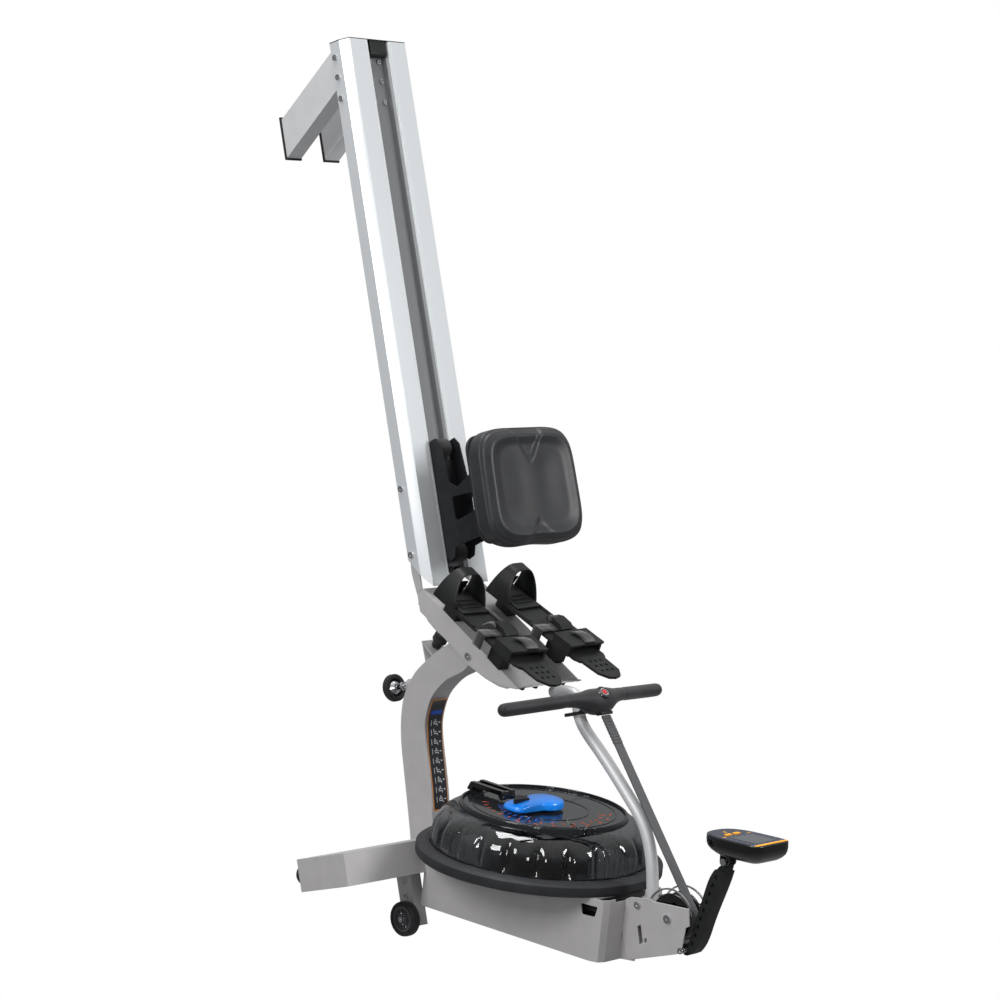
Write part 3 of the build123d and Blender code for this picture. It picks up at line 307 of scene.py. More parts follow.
# translucent grey urethane of the wheel hubs
wheel_grey, shader = start_finish("grey_hub_plastic", "#4A4B4D", 0.34)
shader.inputs["Coat Weight"].default_value = 0.2
grain(wheel_grey, shader, 1.5, 0.02, vary=("#434446", "#525355"))
for dark in (powder_black, grained_black, charcoal_plastic, soft_rubber, grip_foam):
    dark.node_tree.nodes["Principled BSDF"].inputs["Specular IOR Level"].default_value = 0.28
print("plastics", grained_black.name, adjuster_blue.name, soft_rubber.name)

# %% [markdown]
# ## Smoke-clear tank
#
# The tank is clear polycarbonate with a smoke tint. A thin wall of tinted glass bends the light a
# little and shows the room's reflection on its flutes, with the black bowl and paddle behind it.

# %% Clear finishes
# smoke-clear polycarbonate of the tank
smoke_clear, shader = start_finish("smoke_clear_polycarbonate", "#B4B9BC", 0.02)
shader.inputs["Transmission Weight"].default_value = 1.0
shader.inputs["IOR"].default_value = 1.5
grain(smoke_clear, shader, 30.0, 0.02)

# darker smoke of the lid
smoke_dark, shader = start_finish("smoke_dark_polycarbonate", "#4A4E52", 0.05)
shader.inputs["Transmission Weight"].default_value = 0.85
shader.inputs["IOR"].default_value = 1.5
grain(smoke_dark, shader, 10.0, 0.03, rough=(0.05, 0.12))

# black bowl and paddle seen through it
wet_black, shader = start_finish("wet_black_plastic", "#101214", 0.12)
shader.inputs["Coat Weight"].default_value = 0.6
grain(wet_black, shader, 20.0, 0.02, vary=("#0A0B0D", "#101214"))
print("clear", smoke_clear.name, smoke_dark.name)

# %% [markdown]
# ## Webbing and skinned foam
#
# The pulling belt and the foot straps are woven webbing: a wave along the band makes its ribs,
# and fine noise makes its fibres. The seat is foam moulded with its own tough skin, which carries
# a leather grain, so its cells are pebbles of about a millimetre and a half rather than threads.

# %% Webbing and seat skin
def webbing(name, colour, valley_shade_colour, rib_mm, along):
    """Woven band; along is the direction of the ribs' spacing in the object's space."""
    material, shader = start_finish(name, colour, 0.8)
    shader.inputs["Sheen Weight"].default_value = 0.3
    spot = add(material, "ShaderNodeTexCoord")
    run = add(material, "ShaderNodeVectorMath", _0=(spot, "Object"), _1=along)
    run.operation = "DOT_PRODUCT"
    ribs = add(material, "ShaderNodeMath", _0=(run, 1), _1=2 * math.pi * 1000 / rib_mm)
    ribs.operation = "MULTIPLY"
    wave = add(material, "ShaderNodeMath", _0=(ribs, 0))
    wave.operation = "SINE"
    fibre = add(material, "ShaderNodeTexNoise", Vector=(spot, "Object"), Scale=2200.0, Detail=2.0)
    height = add(material, "ShaderNodeMath", _0=(wave, 0), _1=(fibre, 0))
    bump = add(material, "ShaderNodeBump", Height=(height, 0), Distance=0.25 * MM, Strength=0.7)
    join(material, bump, 0, shader, "Normal")
    # painted shade: the colour follows the ribs' and fibres' height, darker in the hollows between
    # them
    ramp = add(material, "ShaderNodeValToRGB", Fac=(height, 0))
    ramp.color_ramp.elements[0].color = hex_colour(valley_shade_colour)
    ramp.color_ramp.elements[1].color = hex_colour(colour)
    join(material, ramp, 0, shader, "Base Color")
    return material


# dark grey woven belt
belt_weave = webbing("dark_grey_webbing", "#4B4C4F", "#2C2D2F", 2.4, (-0.58, 0, 0.81))
# black woven strap of the footplates
strap_weave = webbing("black_webbing", "#1E1F21", "#0D0D0E", 2.0, (0.55, 0, -0.83))

# charcoal skinned foam of the seat
seat_skin, shader = start_finish("charcoal_seat_skin", "#232426", 0.42)
shader.inputs["Sheen Weight"].default_value = 0.05
shader.inputs["Specular IOR Level"].default_value = 0.35
spot = add(seat_skin, "ShaderNodeTexCoord")
pebble = add(seat_skin, "ShaderNodeTexVoronoi", Vector=(spot, "Object"), Scale=720.0)
pebble.feature = "DISTANCE_TO_EDGE"
pebble_bump = add(seat_skin, "ShaderNodeBump", Height=(pebble, 0), Distance=0.12 * MM, Strength=0.45)
join(seat_skin, pebble_bump, 0, shader, "Normal")
drift = add(seat_skin, "ShaderNodeTexNoise", Vector=(spot, "Object"), Scale=16.0, Detail=5.0)
ramp = add(seat_skin, "ShaderNodeValToRGB", Fac=(drift, 0))
ramp.color_ramp.elements[0].position, ramp.color_ramp.elements[1].position = 0.3, 0.72
ramp.color_ramp.elements[0].color = hex_colour("#1F2022")
ramp.color_ramp.elements[1].color = hex_colour("#292A2D")
join(seat_skin, ramp, 0, shader, "Base Color")
print("fabrics", belt_weave.name, strap_weave.name, seat_skin.name)

# %% [markdown]
# ## Finishing the CAD pieces
#
# A CAD piece has perfectly sharp edges, and no real edge is. Each one's loose triangles are
# welded, and a narrow bevel catches the light along the edges. These are modifiers, so the CAD
# mesh itself stays as it was.

# %% Dress the CAD pieces
def dress(nodes, material, edge_mm=0.8):
    for name in nodes.split():
        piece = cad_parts[name]
        piece.data.materials.clear()
        piece.data.materials.append(material)
        if edge_mm:
            piece.modifiers.new("weld", "WELD").merge_threshold = 0.00002
            bevel = piece.modifiers.new("edges", "BEVEL")
            bevel.width, bevel.segments = edge_mm * MM, 2
            bevel.limit_method, bevel.angle_limit = "ANGLE", math.radians(35)


dress("main_arm footrest_channel gusset_plates footrest_ties front_beam housing pulley_plates "
      "wheel_brackets", powder_silver)
dress("rear_legs s_tube", powder_pale)
dress("seat_carriage", powder_black)
dress("rail", anodised, 0.5)
dress("frame_bolts centre_foot belt_guards console_pin", plated, 0.35)
dress("nose_pins impeller_shaft", turned_steel, 0.3)
dress("rail_end_cap rail_stops handle_hook belt_yoke footplate_left footplate_right "
      "strap_buckles adjuster_grip belt_drum console_arm", grained_black, 0.7)
dress("tank_ring", charcoal_plastic, 0.9)
dress("lid_grab belt_pulley", polished_black, 0.8)
dress("rear_caps toe_bumpers frame_buffer centre_foot_pad front_feet wheel_tyre_left "
      "wheel_tyre_right seat_roller_rear seat_roller_front seat_pan", soft_rubber, 0.8)
dress("wheel_hub_left wheel_hub_right", wheel_grey, 0.3)
dress("tank_bottom impeller", wet_black, 0.6)
dress("inner_baffle", smoke_clear, 0)
dress("tank_lid", smoke_dark, 0.6)
dress("belt_return", belt_weave, 0)
dress("console_button_left console_button_right", key_orange, 0.7)
print("dressed", sum(bool(o.data.materials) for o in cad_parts.values()), "CAD pieces")

# %% [markdown]
# ## Shaping helpers
#
# New pieces start as a bmesh primitive. `finish_piece` carries one from millimetres to its place,
# gives it a finish and fastens it to the body that moves it.

# %% Shaping helpers
def finish_piece(bm, name, at, material, body, smooth=True, stands_for=(), subdivide=0,
                 bevel_mm=0.0, bodies=None):
    bmesh.ops.recalc_face_normals(bm, faces=bm.faces)
    mesh = bpy.data.meshes.new(name)
    bm.to_mesh(mesh)
    bm.free()
    mesh.transform(at)
    if at.determinant() < 0:
        mesh.flip_normals()
    for polygon in mesh.polygons:
        polygon.use_smooth = smooth
    mesh.materials.append(material)
    piece = bpy.data.objects.new(name, mesh)
    bpy.context.collection.objects.link(piece)
    if bevel_mm:
        bevel = piece.modifiers.new("edges", "BEVEL")
        bevel.width, bevel.segments = bevel_mm * MM, 2
        bevel.limit_method, bevel.angle_limit = "ANGLE", math.radians(35)
    if subdivide:
        rounder = piece.modifiers.new("rounder", "SUBSURF")
        rounder.levels = rounder.render_levels = subdivide
    if body:
        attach(piece, body)
    if stands_for:
        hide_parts(*stands_for)
    print(name, "faces", len(mesh.polygons))
    return piece


def smoothstep(low, high, x):
    t = min(max((x - low) / (high - low), 0.0), 1.0)
    return t * t * (3 - 2 * t)


def block(bm, size, centre=(0, 0, 0), turn=0.0, axis="Z"):
    made = bmesh.ops.create_cube(bm, size=1, matrix=Matrix.Translation(centre)
                                 @ Matrix.Rotation(turn, 4, axis) @ Matrix.Diagonal((*size, 1)))
    return made["verts"]


# %% [markdown]
# ## Seat cushion
#
# The cushion is one piece of moulded foam with its own skin: square with rounded corners, dished
# for the rower, with a raised rim, a V-shaped relief at the back and a two-lobed lower edge. It
# could be carved from a subdivided sheet, but a cube divided evenly keeps its sides and its back
# in the same mesh. Each point is moved by where it lies on the square. It is moulded and not
# sewn, so there is no cloth to simulate and there are no seams.

# %% Seat cushion
bm = bmesh.new()
bmesh.ops.create_cube(bm, size=2)
bmesh.ops.subdivide_edges(bm, edges=bm.edges, cuts=59, use_grid_fill=True)
HALF_WIDE, HALF_HIGH, THICK = 145.5, 121.5, 49.5
for v in bm.verts:
    s, t, h = v.co.x, v.co.y, (v.co.z + 1) / 2
    # the square's outline becomes a square with round corners
    reach = max(abs(s), abs(t))
    length = (abs(s) ** 5 + abs(t) ** 5) ** 0.2 or 1.0
    s, t = s * reach / length, t * reach / length
    edge = 1 - reach
    side_round = 1 - 0.05 * smoothstep(0.6, 1.0, h) ** 2 - 0.02 * smoothstep(0.12, 0.0, h)
    x, y = s * HALF_WIDE * side_round, t * HALF_HIGH * side_round
    lobe = math.exp(-((abs(s) - 0.42) / 0.3) ** 2)
    y -= 3.5 * lobe * smoothstep(-0.5, -1, t)
    x *= 1 - 0.035 * (t + 1) / 2
    z = h * THICK
    if h > 0.5:
        top = smoothstep(0.5, 1.0, h)
        rolled = 9 * smoothstep(0.14, 0.0, edge) ** 1.8
        dish = 6.5 * smoothstep(0.08, 0.3, edge) + 3.0 * smoothstep(0.25, 0.8, edge)
        ridge = 1.4 * math.exp(-(s / 0.24) ** 2) * smoothstep(-0.9, -0.3, t)
        vee_half = 0.34 * (t - 0.36) / 0.64
        vee = smoothstep(vee_half + 0.012, vee_half - 0.022, abs(s)) if t > 0.36 else 0.0
        low_half = 0.30 * (-t - 0.62) / 0.38
        low = smoothstep(low_half + 0.02, low_half - 0.03, abs(s)) if t < -0.62 else 0.0
        z -= top * (rolled + dish - ridge + 6.5 * vee * smoothstep(0.36, 0.6, t) + 1.8 * low)
    v.co = (x, y, z)
cushion = finish_piece(bm, "seat_cushion_skin", SEAT, seat_skin, "seat",
                       stands_for=["seat_cushion"], subdivide=1)

# %% [markdown]
# ## Clear cover of the tank
#
# The cover is a turned shape with upright flutes that stiffen its wall. A half profile is spun
# round the tank's axis, then every point on the wall is pushed in and out in even waves, so the
# flutes fade out on the shoulder. A thin wall is added last.

# %% Clear cover
FLUTES = 22
bm = bmesh.new()
profile = [(230.5, 139.6), (230.8, 150), (230.4, 162), (229.4, 174), (228.0, 186), (226.2, 195),
           (223.0, 203), (218.2, 211), (211.5, 218.5), (203.0, 225.5), (194.0, 231), (185.0, 235.2),
           (178.5, 237.6), (176.8, 238.2)]
line = [bm.verts.new((x, 0, z)) for x, z in profile]
for a, b in zip(line, line[1:]):
    bm.edges.new((a, b))
bmesh.ops.spin(bm, geom=bm.verts[:] + bm.edges[:], axis=(0, 0, 1), cent=(0, 0, 0),
               steps=FLUTES * 12, angle=math.tau, use_merge=True)
for v in bm.verts:
    radius, angle = math.hypot(v.co.x, v.co.y), math.atan2(v.co.y, v.co.x)
    wall = smoothstep(150, 162, v.co.z) * smoothstep(226, 200, v.co.z)
    groove = abs(math.cos(angle * FLUTES / 2)) ** 14          # narrow valleys between broad bulges
    swell = 1 - (9.0 * groove) * wall / radius
    v.co.x, v.co.y = v.co.x * swell, v.co.y * swell
bmesh.ops.recalc_face_normals(bm, faces=bm.faces)
bmesh.ops.solidify(bm, geom=bm.faces[:], thickness=2.6)
finish_piece(bm, "tank_clear_cover", TANK, smoke_clear, "frame",
             stands_for=["tank_shell"])

# %% [markdown]
# ## Lid details
#
# The lid carries raised rings, a printed scale of short bars and a few dots. A ring is a small
# circle spun round the axis. The printing is a row of very thin blocks, each one turned to its
# place, so it needs no picture.

# %% Lid rings and printed scale
bm = bmesh.new()
for ring_radius, level, thick in ((171.5, 246.0, 2.0), (150.0, 243.2, 1.2), (93.0, 243.2, 1.2)):
    made = bmesh.ops.create_circle(bm, segments=12, radius=thick,
                                   matrix=Matrix.Translation((ring_radius, 0, level))
                                   @ Matrix.Rotation(math.pi / 2, 4, "X"))
    loop = made["verts"]
    edges = list({e for v in loop for e in v.link_edges})
    bmesh.ops.spin(bm, geom=loop + edges, axis=(0, 0, 1), cent=(0, 0, 0), steps=120,
                   angle=math.tau, use_merge=True)
finish_piece(bm, "lid_rings", TANK, smoke_dark, "frame")

bm = bmesh.new()
for i in range(17):
    angle = math.radians(-138 + 11 * i)
    turn = Matrix.Rotation(angle, 4, "Z")
    bmesh.ops.create_cube(bm, size=1, matrix=turn @ Matrix.Translation((122, 0, 243.3))
                          @ Matrix.Diagonal((9 if i % 4 else 15, 3.2, 0.3, 1)))
for i in range(8):
    turn = Matrix.Rotation(math.radians(-70 + 16 * i), 4, "Z")
    bmesh.ops.create_cube(bm, size=1, matrix=turn @ Matrix.Translation((138, 0, 243.3))
                          @ Matrix.Diagonal((4, 10, 0.3, 1)))
# orange-red print on the lid
print_red, shader = start_finish("orange_red_print", "#C8502A", 0.4)
grain(print_red, shader, 1.0, 0.01, vary=("#BC4724", "#D25A32"))
finish_piece(bm, "lid_scale", TANK, print_red, "frame")

bm = bmesh.new()
for i in range(9):
    turn = Matrix.Rotation(math.radians(-128 + 9 * i), 4, "Z")
    bmesh.ops.create_cube(bm, size=1, matrix=turn @ Matrix.Translation((84 + 2.2 * i, 0, 243.3))
                          @ Matrix.Diagonal((26, 4.4, 0.3, 1)))
# blue print, showing how far the adjuster has gone round
print_blue, shader = start_finish("blue_print", "#1D50B8", 0.4)
grain(print_blue, shader, 1.0, 0.01, vary=("#1A49AA", "#2259C8"))
finish_piece(bm, "lid_flow_marks", TANK, print_blue, "frame")

# %% [markdown]
# ## Blue adjuster
#
# The adjuster is a low dome with a broad paddle growing out of it. The dome and the paddle are
# made as one outline of a circle stretched towards the paddle's tip, raised in rings that shrink
# and rise, which gives the soft, inflated look of the moulding.

# %% Blue adjuster
bm = bmesh.new()
SEGMENTS = 72
made = bmesh.ops.create_circle(bm, segments=SEGMENTS, radius=1.0)
loop = made["verts"]
edges = list({e for v in loop for e in v.link_edges})
TIP = math.radians(-93)


def lever_outline(angle):
    """Radius of the lever's edge in a direction: a round dome, a paddle towards the tip."""
    off = (angle - TIP + math.pi) % math.tau - math.pi
    paddle = 28 / max(abs(math.sin(off)), 0.2) if abs(off) < math.pi / 2 else 0.0
    return max(40.0, min(paddle, 99 - 36 * off ** 2))


for v in loop:
    angle = math.atan2(v.co.y, v.co.x)
    v.co = (*[lever_outline(angle) * f for f in (math.cos(angle), math.sin(angle))], 247.0)
for grow, level in ((1.02, 248.0), (1.03, 252.0), (1.02, 259.0), (0.98, 262.5), (0.90, 264.6),
                    (0.6, 267.5), (0.3, 269.0), (0.08, 269.6)):
    out = bmesh.ops.extrude_edge_only(bm, edges=edges)["geom"]
    ring = [g for g in out if isinstance(g, bmesh.types.BMVert)]
    edges = [g for g in out if isinstance(g, bmesh.types.BMEdge)]
    for v in ring:
        angle = math.atan2(v.co.y, v.co.x)
        reach = lever_outline(angle)
        far = smoothstep(50, 110, reach * grow)
        v.co = (math.cos(angle) * reach * grow, math.sin(angle) * reach * grow,
                level - far * (4 if level > 255 else 0))
bmesh.ops.contextual_create(bm, geom=edges)
bmesh.ops.smooth_vert(bm, verts=bm.verts, factor=0.2, use_axis_x=True, use_axis_y=True,
                      use_axis_z=False)
bmesh.ops.holes_fill(bm, edges=[e for e in bm.edges if e.is_boundary], sides=0)
finish_piece(bm, "adjuster_body", TANK, adjuster_blue, "adjuster",
             stands_for=["adjuster_lever"], subdivide=1)

# %% [markdown]
# ## Handle
#
# The bar is held with soft foam grips, thinner at the hub's neck and rounded at the ends, and
# swells at the middle into a moulded hub with a small round cap. One ring of points is carried
# along the bar's line, and its size and place change from station to station.

# %% Handle
HANDLE_U, HANDLE_R = 318, 416


def along_bar(y):
    """The bar's centre: its ends sweep back, its middle stands forward."""
    a = abs(y)
    u = HANDLE_U - 24 + 44 * (1 - smoothstep(0, 232, a)) - 2 * smoothstep(110, 225, a)
    return u, HANDLE_R - 8 * smoothstep(80, 0, a)


bm = bmesh.new()
made = bmesh.ops.create_circle(bm, segments=40, radius=1.0)
edges = list({e for v in made["verts"] for e in v.link_edges})
stations = [(-245.6, 1.5), (-245, 5), (-243, 9), (-239, 12.2), (-234, 13.6), (-226, 14)]
stations += [(y, 14) for y in range(-210, -100, 15)]
stations += [(-96, 14), (-90, 13.6), (-87, 12.9), (-84, 13.6), (-78, 13.9), (-66, 14.6), (-54, 15.8),
             (-44, 17.6), (-36, 19.6), (-28, 21.4), (-20, 22.6), (-10, 23.2), (0, 23.4)]
stations += [(-y, radius) for y, radius in stations[-2::-1]]


def set_ring(ring, y, radius):
    u, r = along_bar(y)
    hub = smoothstep(60, 20, abs(y))
    for k, v in enumerate(ring):
        angle = math.tau * k / len(ring)
        wide, tall = radius * (1 + 0.10 * hub), radius * (1 + 0.12 * hub)
        down = -6 * hub if math.sin(angle) < 0 else 0
        v.co = (u + math.cos(angle) * wide - 3 * hub, y, r + math.sin(angle) * tall + down * 0.5)


first = sorted(made["verts"], key=lambda v: math.atan2(v.co.y, v.co.x) % math.tau)
set_ring(first, *stations[0])
ring = first
for y, radius in stations[1:]:
    ring_edges = [e for e in bm.edges if e.verts[0] in ring and e.verts[1] in ring]
    out = bmesh.ops.extrude_edge_only(bm, edges=ring_edges)["geom"]
    fresh = [g for g in out if isinstance(g, bmesh.types.BMVert)]
    partner = {}
    for v in fresh:
        for e in v.link_edges:
            if e.other_vert(v) in ring:
                partner[e.other_vert(v)] = v
    ring = [partner[v] for v in ring]
    set_ring(ring, y, radius)
bmesh.ops.holes_fill(bm, edges=[e for e in bm.edges if e.is_boundary], sides=0)
MACHINE = place(MACHINE_ZERO, U_AXIS, Y_AXIS, R_AXIS)
finish_piece(bm, "handle_grips", MACHINE, grip_foam, "handle",
             stands_for=["handle_bar"], subdivide=1)

# round cap on the hub, with a plain raised rim and a small dot in place of any badge
CAP_OUT = (U_AXIS * 0.80 + R_AXIS * 0.60).normalized()
CAP = place(machine(HANDLE_U + 37.5, 0, HANDLE_R + 7.4), Y_AXIS, CAP_OUT.cross(Y_AXIS), CAP_OUT)
bm = bmesh.new()
for radius, level in ((16, 0.3), (13.5, 0.9)):
    bmesh.ops.create_cone(bm, cap_ends=True, segments=48, radius1=radius, radius2=radius - 0.8,
                          depth=1.4, matrix=Matrix.Translation((0, 0, level)))
finish_piece(bm, "hub_cap", CAP, polished_black, "handle", smooth=False,
             bevel_mm=0.3)
bm = bmesh.new()
bmesh.ops.create_cone(bm, cap_ends=True, segments=32, radius1=6, radius2=5.6, depth=0.6,
                      matrix=Matrix.Translation((0, 0, 1.8)))
# red dot of the hub cap
dot_red, shader = start_finish("red_enamel", "#B3262B", 0.3)
grain(dot_red, shader, 1.5, 0.01, vary=("#A82025", "#BE2E33"))
finish_piece(bm, "hub_dot", CAP, dot_red, "handle", smooth=False)
bm = bmesh.new()
bmesh.ops.create_circle(bm, segments=48, radius=9.6)
ring_edges = bm.edges[:]
inner = bmesh.ops.extrude_edge_only(bm, edges=ring_edges)["geom"]
for v in [g for g in inner if isinstance(g, bmesh.types.BMVert)]:
    v.co *= 7.6 / 9.6
for v in bm.verts:
    v.co.z = 1.66
bmesh.ops.solidify(bm, geom=bm.faces[:], thickness=0.3)
# pale line round the dot
print_white, shader = start_finish("pale_print", "#C9CBCD", 0.45)
grain(print_white, shader, 1.0, 0.01, vary=("#C0C2C4", "#D2D4D6"))
finish_piece(bm, "hub_line", CAP, print_white, "handle", smooth=False)

# %% [markdown]
# ## Pulling belt
#
# The belt runs straight from the handle's clamp to the pulley. It bends between the frame and
# the handle when the handle is pulled, so it is cut into many short lengths that can stretch.
# Its end is folded back and stitched, with a row of thicker ribs.

# %% Pulling belt
top_uv, pulley_uv, pulley_radius = Vector((348, 376)), Vector((456, -43)), 42.1
reach = pulley_uv - top_uv
off = math.asin(pulley_radius / reach.length)
heading = math.atan2(reach.y, reach.x) + off
run = math.sqrt(reach.length ** 2 - pulley_radius ** 2)
low_uv = top_uv + Vector((math.cos(heading), math.sin(heading))) * run
away = Vector((-math.sin(heading), math.cos(heading)))
if (pulley_uv - low_uv).dot(away) > 0:
    away = -away
DOWN_BELT = (U_AXIS * math.cos(heading) + R_AXIS * math.sin(heading)).normalized()
OFF_BELT = (U_AXIS * away.x + R_AXIS * away.y).normalized()
BELT = place(machine(top_uv.x, 0, top_uv.y), Y_AXIS, OFF_BELT, DOWN_BELT)
bm = bmesh.new()
block(bm, (24.6, 2.6, run), (0, 1.55, run / 2))
bmesh.ops.subdivide_edges(bm, edges=[e for e in bm.edges if abs(e.verts[0].co.z - e.verts[1].co.z)
                                     > 100], cuts=80)
for i in range(9):                       # the doubled and stitched end
    block(bm, (24.8, 4.6, 5.2), (0, 1.55, 5 + i * 7.0))
belt = finish_piece(bm, "belt_run", BELT, belt_weave, None, smooth=False,
                    stands_for=["belt_pull"])
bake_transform(belt)

# %% [markdown]
# ## Heel cups
#
# Each heel cup is a bent moulding: a low floor with three grip ribs, and an arch over the heel
# whose sides widen into wings. The arch is one flat grid wrapped over: one direction of the grid
# runs round the arch, the other from its heel edge to its toe edge.

# %% Heel cups
FOOT_TILT, FOOT_SPLAY = math.radians(6.5), math.radians(2.3)


def foot_place(side):
    """Footplate's own directions: x to the toe, y across, z off the plate."""
    flat, off_plate = U_AXIS * 0.690 - R_AXIS * 0.724, U_AXIS * 0.724 + R_AXIS * 0.690
    run = (flat * math.cos(FOOT_TILT) + off_plate * math.sin(FOOT_TILT)).normalized()
    normal = (off_plate * math.cos(FOOT_TILT) - flat * math.sin(FOOT_TILT)).normalized()
    run = (run * math.cos(FOOT_SPLAY) + Y_AXIS * side * math.sin(FOOT_SPLAY)).normalized()
    across = normal.cross(run)
    u, r = -23 + 0.690 * 40 + 0.724 * 24, 701 - 0.724 * 40 + 0.690 * 24
    return place(machine(u, side * 77, r), run, across, normal)


def arch_point(round_it, along_it):
    """round_it 0..1 goes over the arch, along_it 0..1 from its heel edge to its toe edge."""
    angle = math.pi * (1 - round_it)
    y = 41.5 * math.copysign(abs(math.cos(angle)) ** 0.42, math.cos(angle))
    high = abs(math.sin(angle)) ** 0.5
    y *= 1 - 0.30 * high ** 2
    z = 9.6 + 65.0 * high
    heel_x = 15 + 17 * high
    toe_x = 86 - 28 * high
    x = heel_x + (toe_x - heel_x) * along_it
    return Vector((x, y, z - 2.5 * along_it * high))


for side, tag in ((-1, "left"), (1, "right")):
    bm = bmesh.new()
    bmesh.ops.create_grid(bm, x_segments=64, y_segments=8, size=0.5)
    for v in bm.verts:
        v.co = arch_point(v.co.x + 0.5, v.co.y + 0.5)
    bmesh.ops.recalc_face_normals(bm, faces=bm.faces)
    bmesh.ops.solidify(bm, geom=bm.faces[:], thickness=3.4)
    # floor, heel wall and the three ribs
    block(bm, (92, 76, 3.6), (60, 0, 10.9))
    block(bm, (4, 70, 26), (20, 0, 24), turn=math.radians(16), axis="Y")
    for x in (60, 74, 88):
        block(bm, (4, 50, 3.2), (x, 0, 14.2))
    floor_edges = [e for e in bm.edges if e.is_valid and len(e.link_faces) == 2
                   and e.calc_face_angle(0) > math.radians(60)]
    bmesh.ops.bevel(bm, geom=floor_edges, offset=0.9, offset_type="OFFSET", segments=2,
                    profile=0.5, affect="EDGES", material=-1)
    finish_piece(bm, f"heel_cup_shell_{tag}", foot_place(side), grained_black, f"heel_{tag}",
                 stands_for=[f"heel_cup_{tag}"])

# %% [markdown]
# ## Foot straps
#
# The straps are webbing that goes over the foot, down the footplate's sides and through the toe
# box. Empty, they lie in shallow waves. Each band is a grid that follows its own line, made
# thick afterwards. A short loose tail ends each one.

# %% Foot straps
def band(bm, line, half_wide, thick, across):
    """Ribbon along a line of points; across gives the ribbon's width direction."""
    count = len(line)
    made = bmesh.ops.create_grid(bm, x_segments=count - 1, y_segments=3, size=0.5)["verts"]
    for v in made:
        k = round((v.co.x + 0.5) * (count - 1))
        v.co = Vector(line[k]) + Vector(across) * (v.co.y * 2 * half_wide)
    faces = list({f for v in made for f in v.link_faces})
    bmesh.ops.recalc_face_normals(bm, faces=faces)
    bmesh.ops.solidify(bm, geom=faces, thickness=thick)


for side, tag in ((-1, "left"), (1, "right")):
    bm = bmesh.new()
    over = []
    for k in range(49):
        t = k / 48 * 2 - 1
        wave = 2.2 * math.sin(5.2 * t + 0.6) + 1.2 * math.sin(11 * t)
        y = 53 * max(-1, min(1, t * 1.28))
        drop = max(0.0, abs(t) - 0.78) / 0.22
        over.append((188 + 5 * math.sin(2.2 * t), y, 14.2 + wave * (1 - drop) - 34 * drop))
    band(bm, over, 13, 2.0, (1, 0, 0))
    tail = [(176 - 1.4 * k, -6 + side * 2.0 * k, 19 + 7.5 * math.sin(k / 3.4)) for k in range(13)]
    band(bm, tail, 10, 1.8, (0.5, side * 0.86, 0.1))
    toe = [(236 + 2.8 * k, 14 * math.sin(k / 6), 29.4 + 1.8 * math.sin(k / 2.5)) for k in range(16)]
    band(bm, toe, 17, 2.0, (0, 1, 0))
    finish_piece(bm, f"strap_webbing_{tag}", foot_place(side), strap_weave, "frame",
                 stands_for=["foot_straps"] if side == 1 else ())

# %% [markdown]
# ## Console
#
# The console is a gloss black shell, round at the end near the rower's arm and square at the
# other, getting narrower towards its back. One closed outline is carried down in rings that
# shrink, then closed. The face is a separate sheet of deep blue-black set into it, with the
# display window, a stripe and two soft keys.

# %% Console shell
SLOPE = math.radians(-16.2)
FACE_MIDDLE, HALF_LONG, HALF_ACROSS, PIVOT_ALONG = 49.3, 76.6, 55.4, 12
CONSOLE_RUN = U_AXIS * math.cos(SLOPE) + R_AXIS * math.sin(SLOPE)
CONSOLE_UP = -U_AXIS * math.sin(SLOPE) + R_AXIS * math.cos(SLOPE)
CONSOLE = place(machine(613, 0, 112), CONSOLE_RUN, CONSOLE_UP.cross(CONSOLE_RUN), CONSOLE_UP)


def console_outline(angle, grow=0.0):
    """Edge of the face, round at the near end and square at the far one."""
    c, s = math.cos(angle), math.sin(angle)
    power = 2.6 if c < 0 else 7.0
    radius = (abs(c) ** power + abs(s) ** power) ** (-1 / power)
    return FACE_MIDDLE + radius * c * (HALF_LONG + grow), radius * s * (HALF_ACROSS + grow)


bm = bmesh.new()
made = bmesh.ops.create_circle(bm, segments=96, radius=1.0)
edges = list({e for v in made["verts"] for e in v.link_edges})
rings = ((-3.2, -0.7), (-0.9, -0.1), (0.0, -1.2), (0.0, -4.0), (0.2, -12), (-0.6, -20), (-3.0, -27),
         (-8.0, -33.0), (-14.0, -37.4), (-21.0, -39.6))
for v in made["verts"]:
    v.co = (*console_outline(math.atan2(v.co.y, v.co.x), rings[0][0]), rings[0][1])
for grow, level in rings[1:]:
    out = bmesh.ops.extrude_edge_only(bm, edges=edges)["geom"]
    edges = [g for g in out if isinstance(g, bmesh.types.BMEdge)]
    for v in [g for g in out if isinstance(g, bmesh.types.BMVert)]:
        angle = math.atan2(v.co.y / HALF_ACROSS, (v.co.x - FACE_MIDDLE) / HALF_LONG)
        x, y = console_outline(angle, grow)
        near = smoothstep(50, -20, x)
        v.co = (x, y, level * (1 - 0.14 * near))
bmesh.ops.holes_fill(bm, edges=[e for e in bm.edges if e.is_boundary], sides=0)
for y in (-10.5, 10.5):                     # the two ears that the tilt bolt goes through
    bmesh.ops.create_cone(bm, cap_ends=True, segments=32, radius1=11, radius2=11, depth=5,
                          matrix=Matrix.Translation((PIVOT_ALONG, y, -55))
                          @ Matrix.Rotation(math.pi / 2, 4, "X"))
    block(bm, (22, 5, 26), (PIVOT_ALONG, y, -44))
finish_piece(bm, "console_shell", CONSOLE, polished_black, "console",
             stands_for=["console_case"], bevel_mm=0.5)
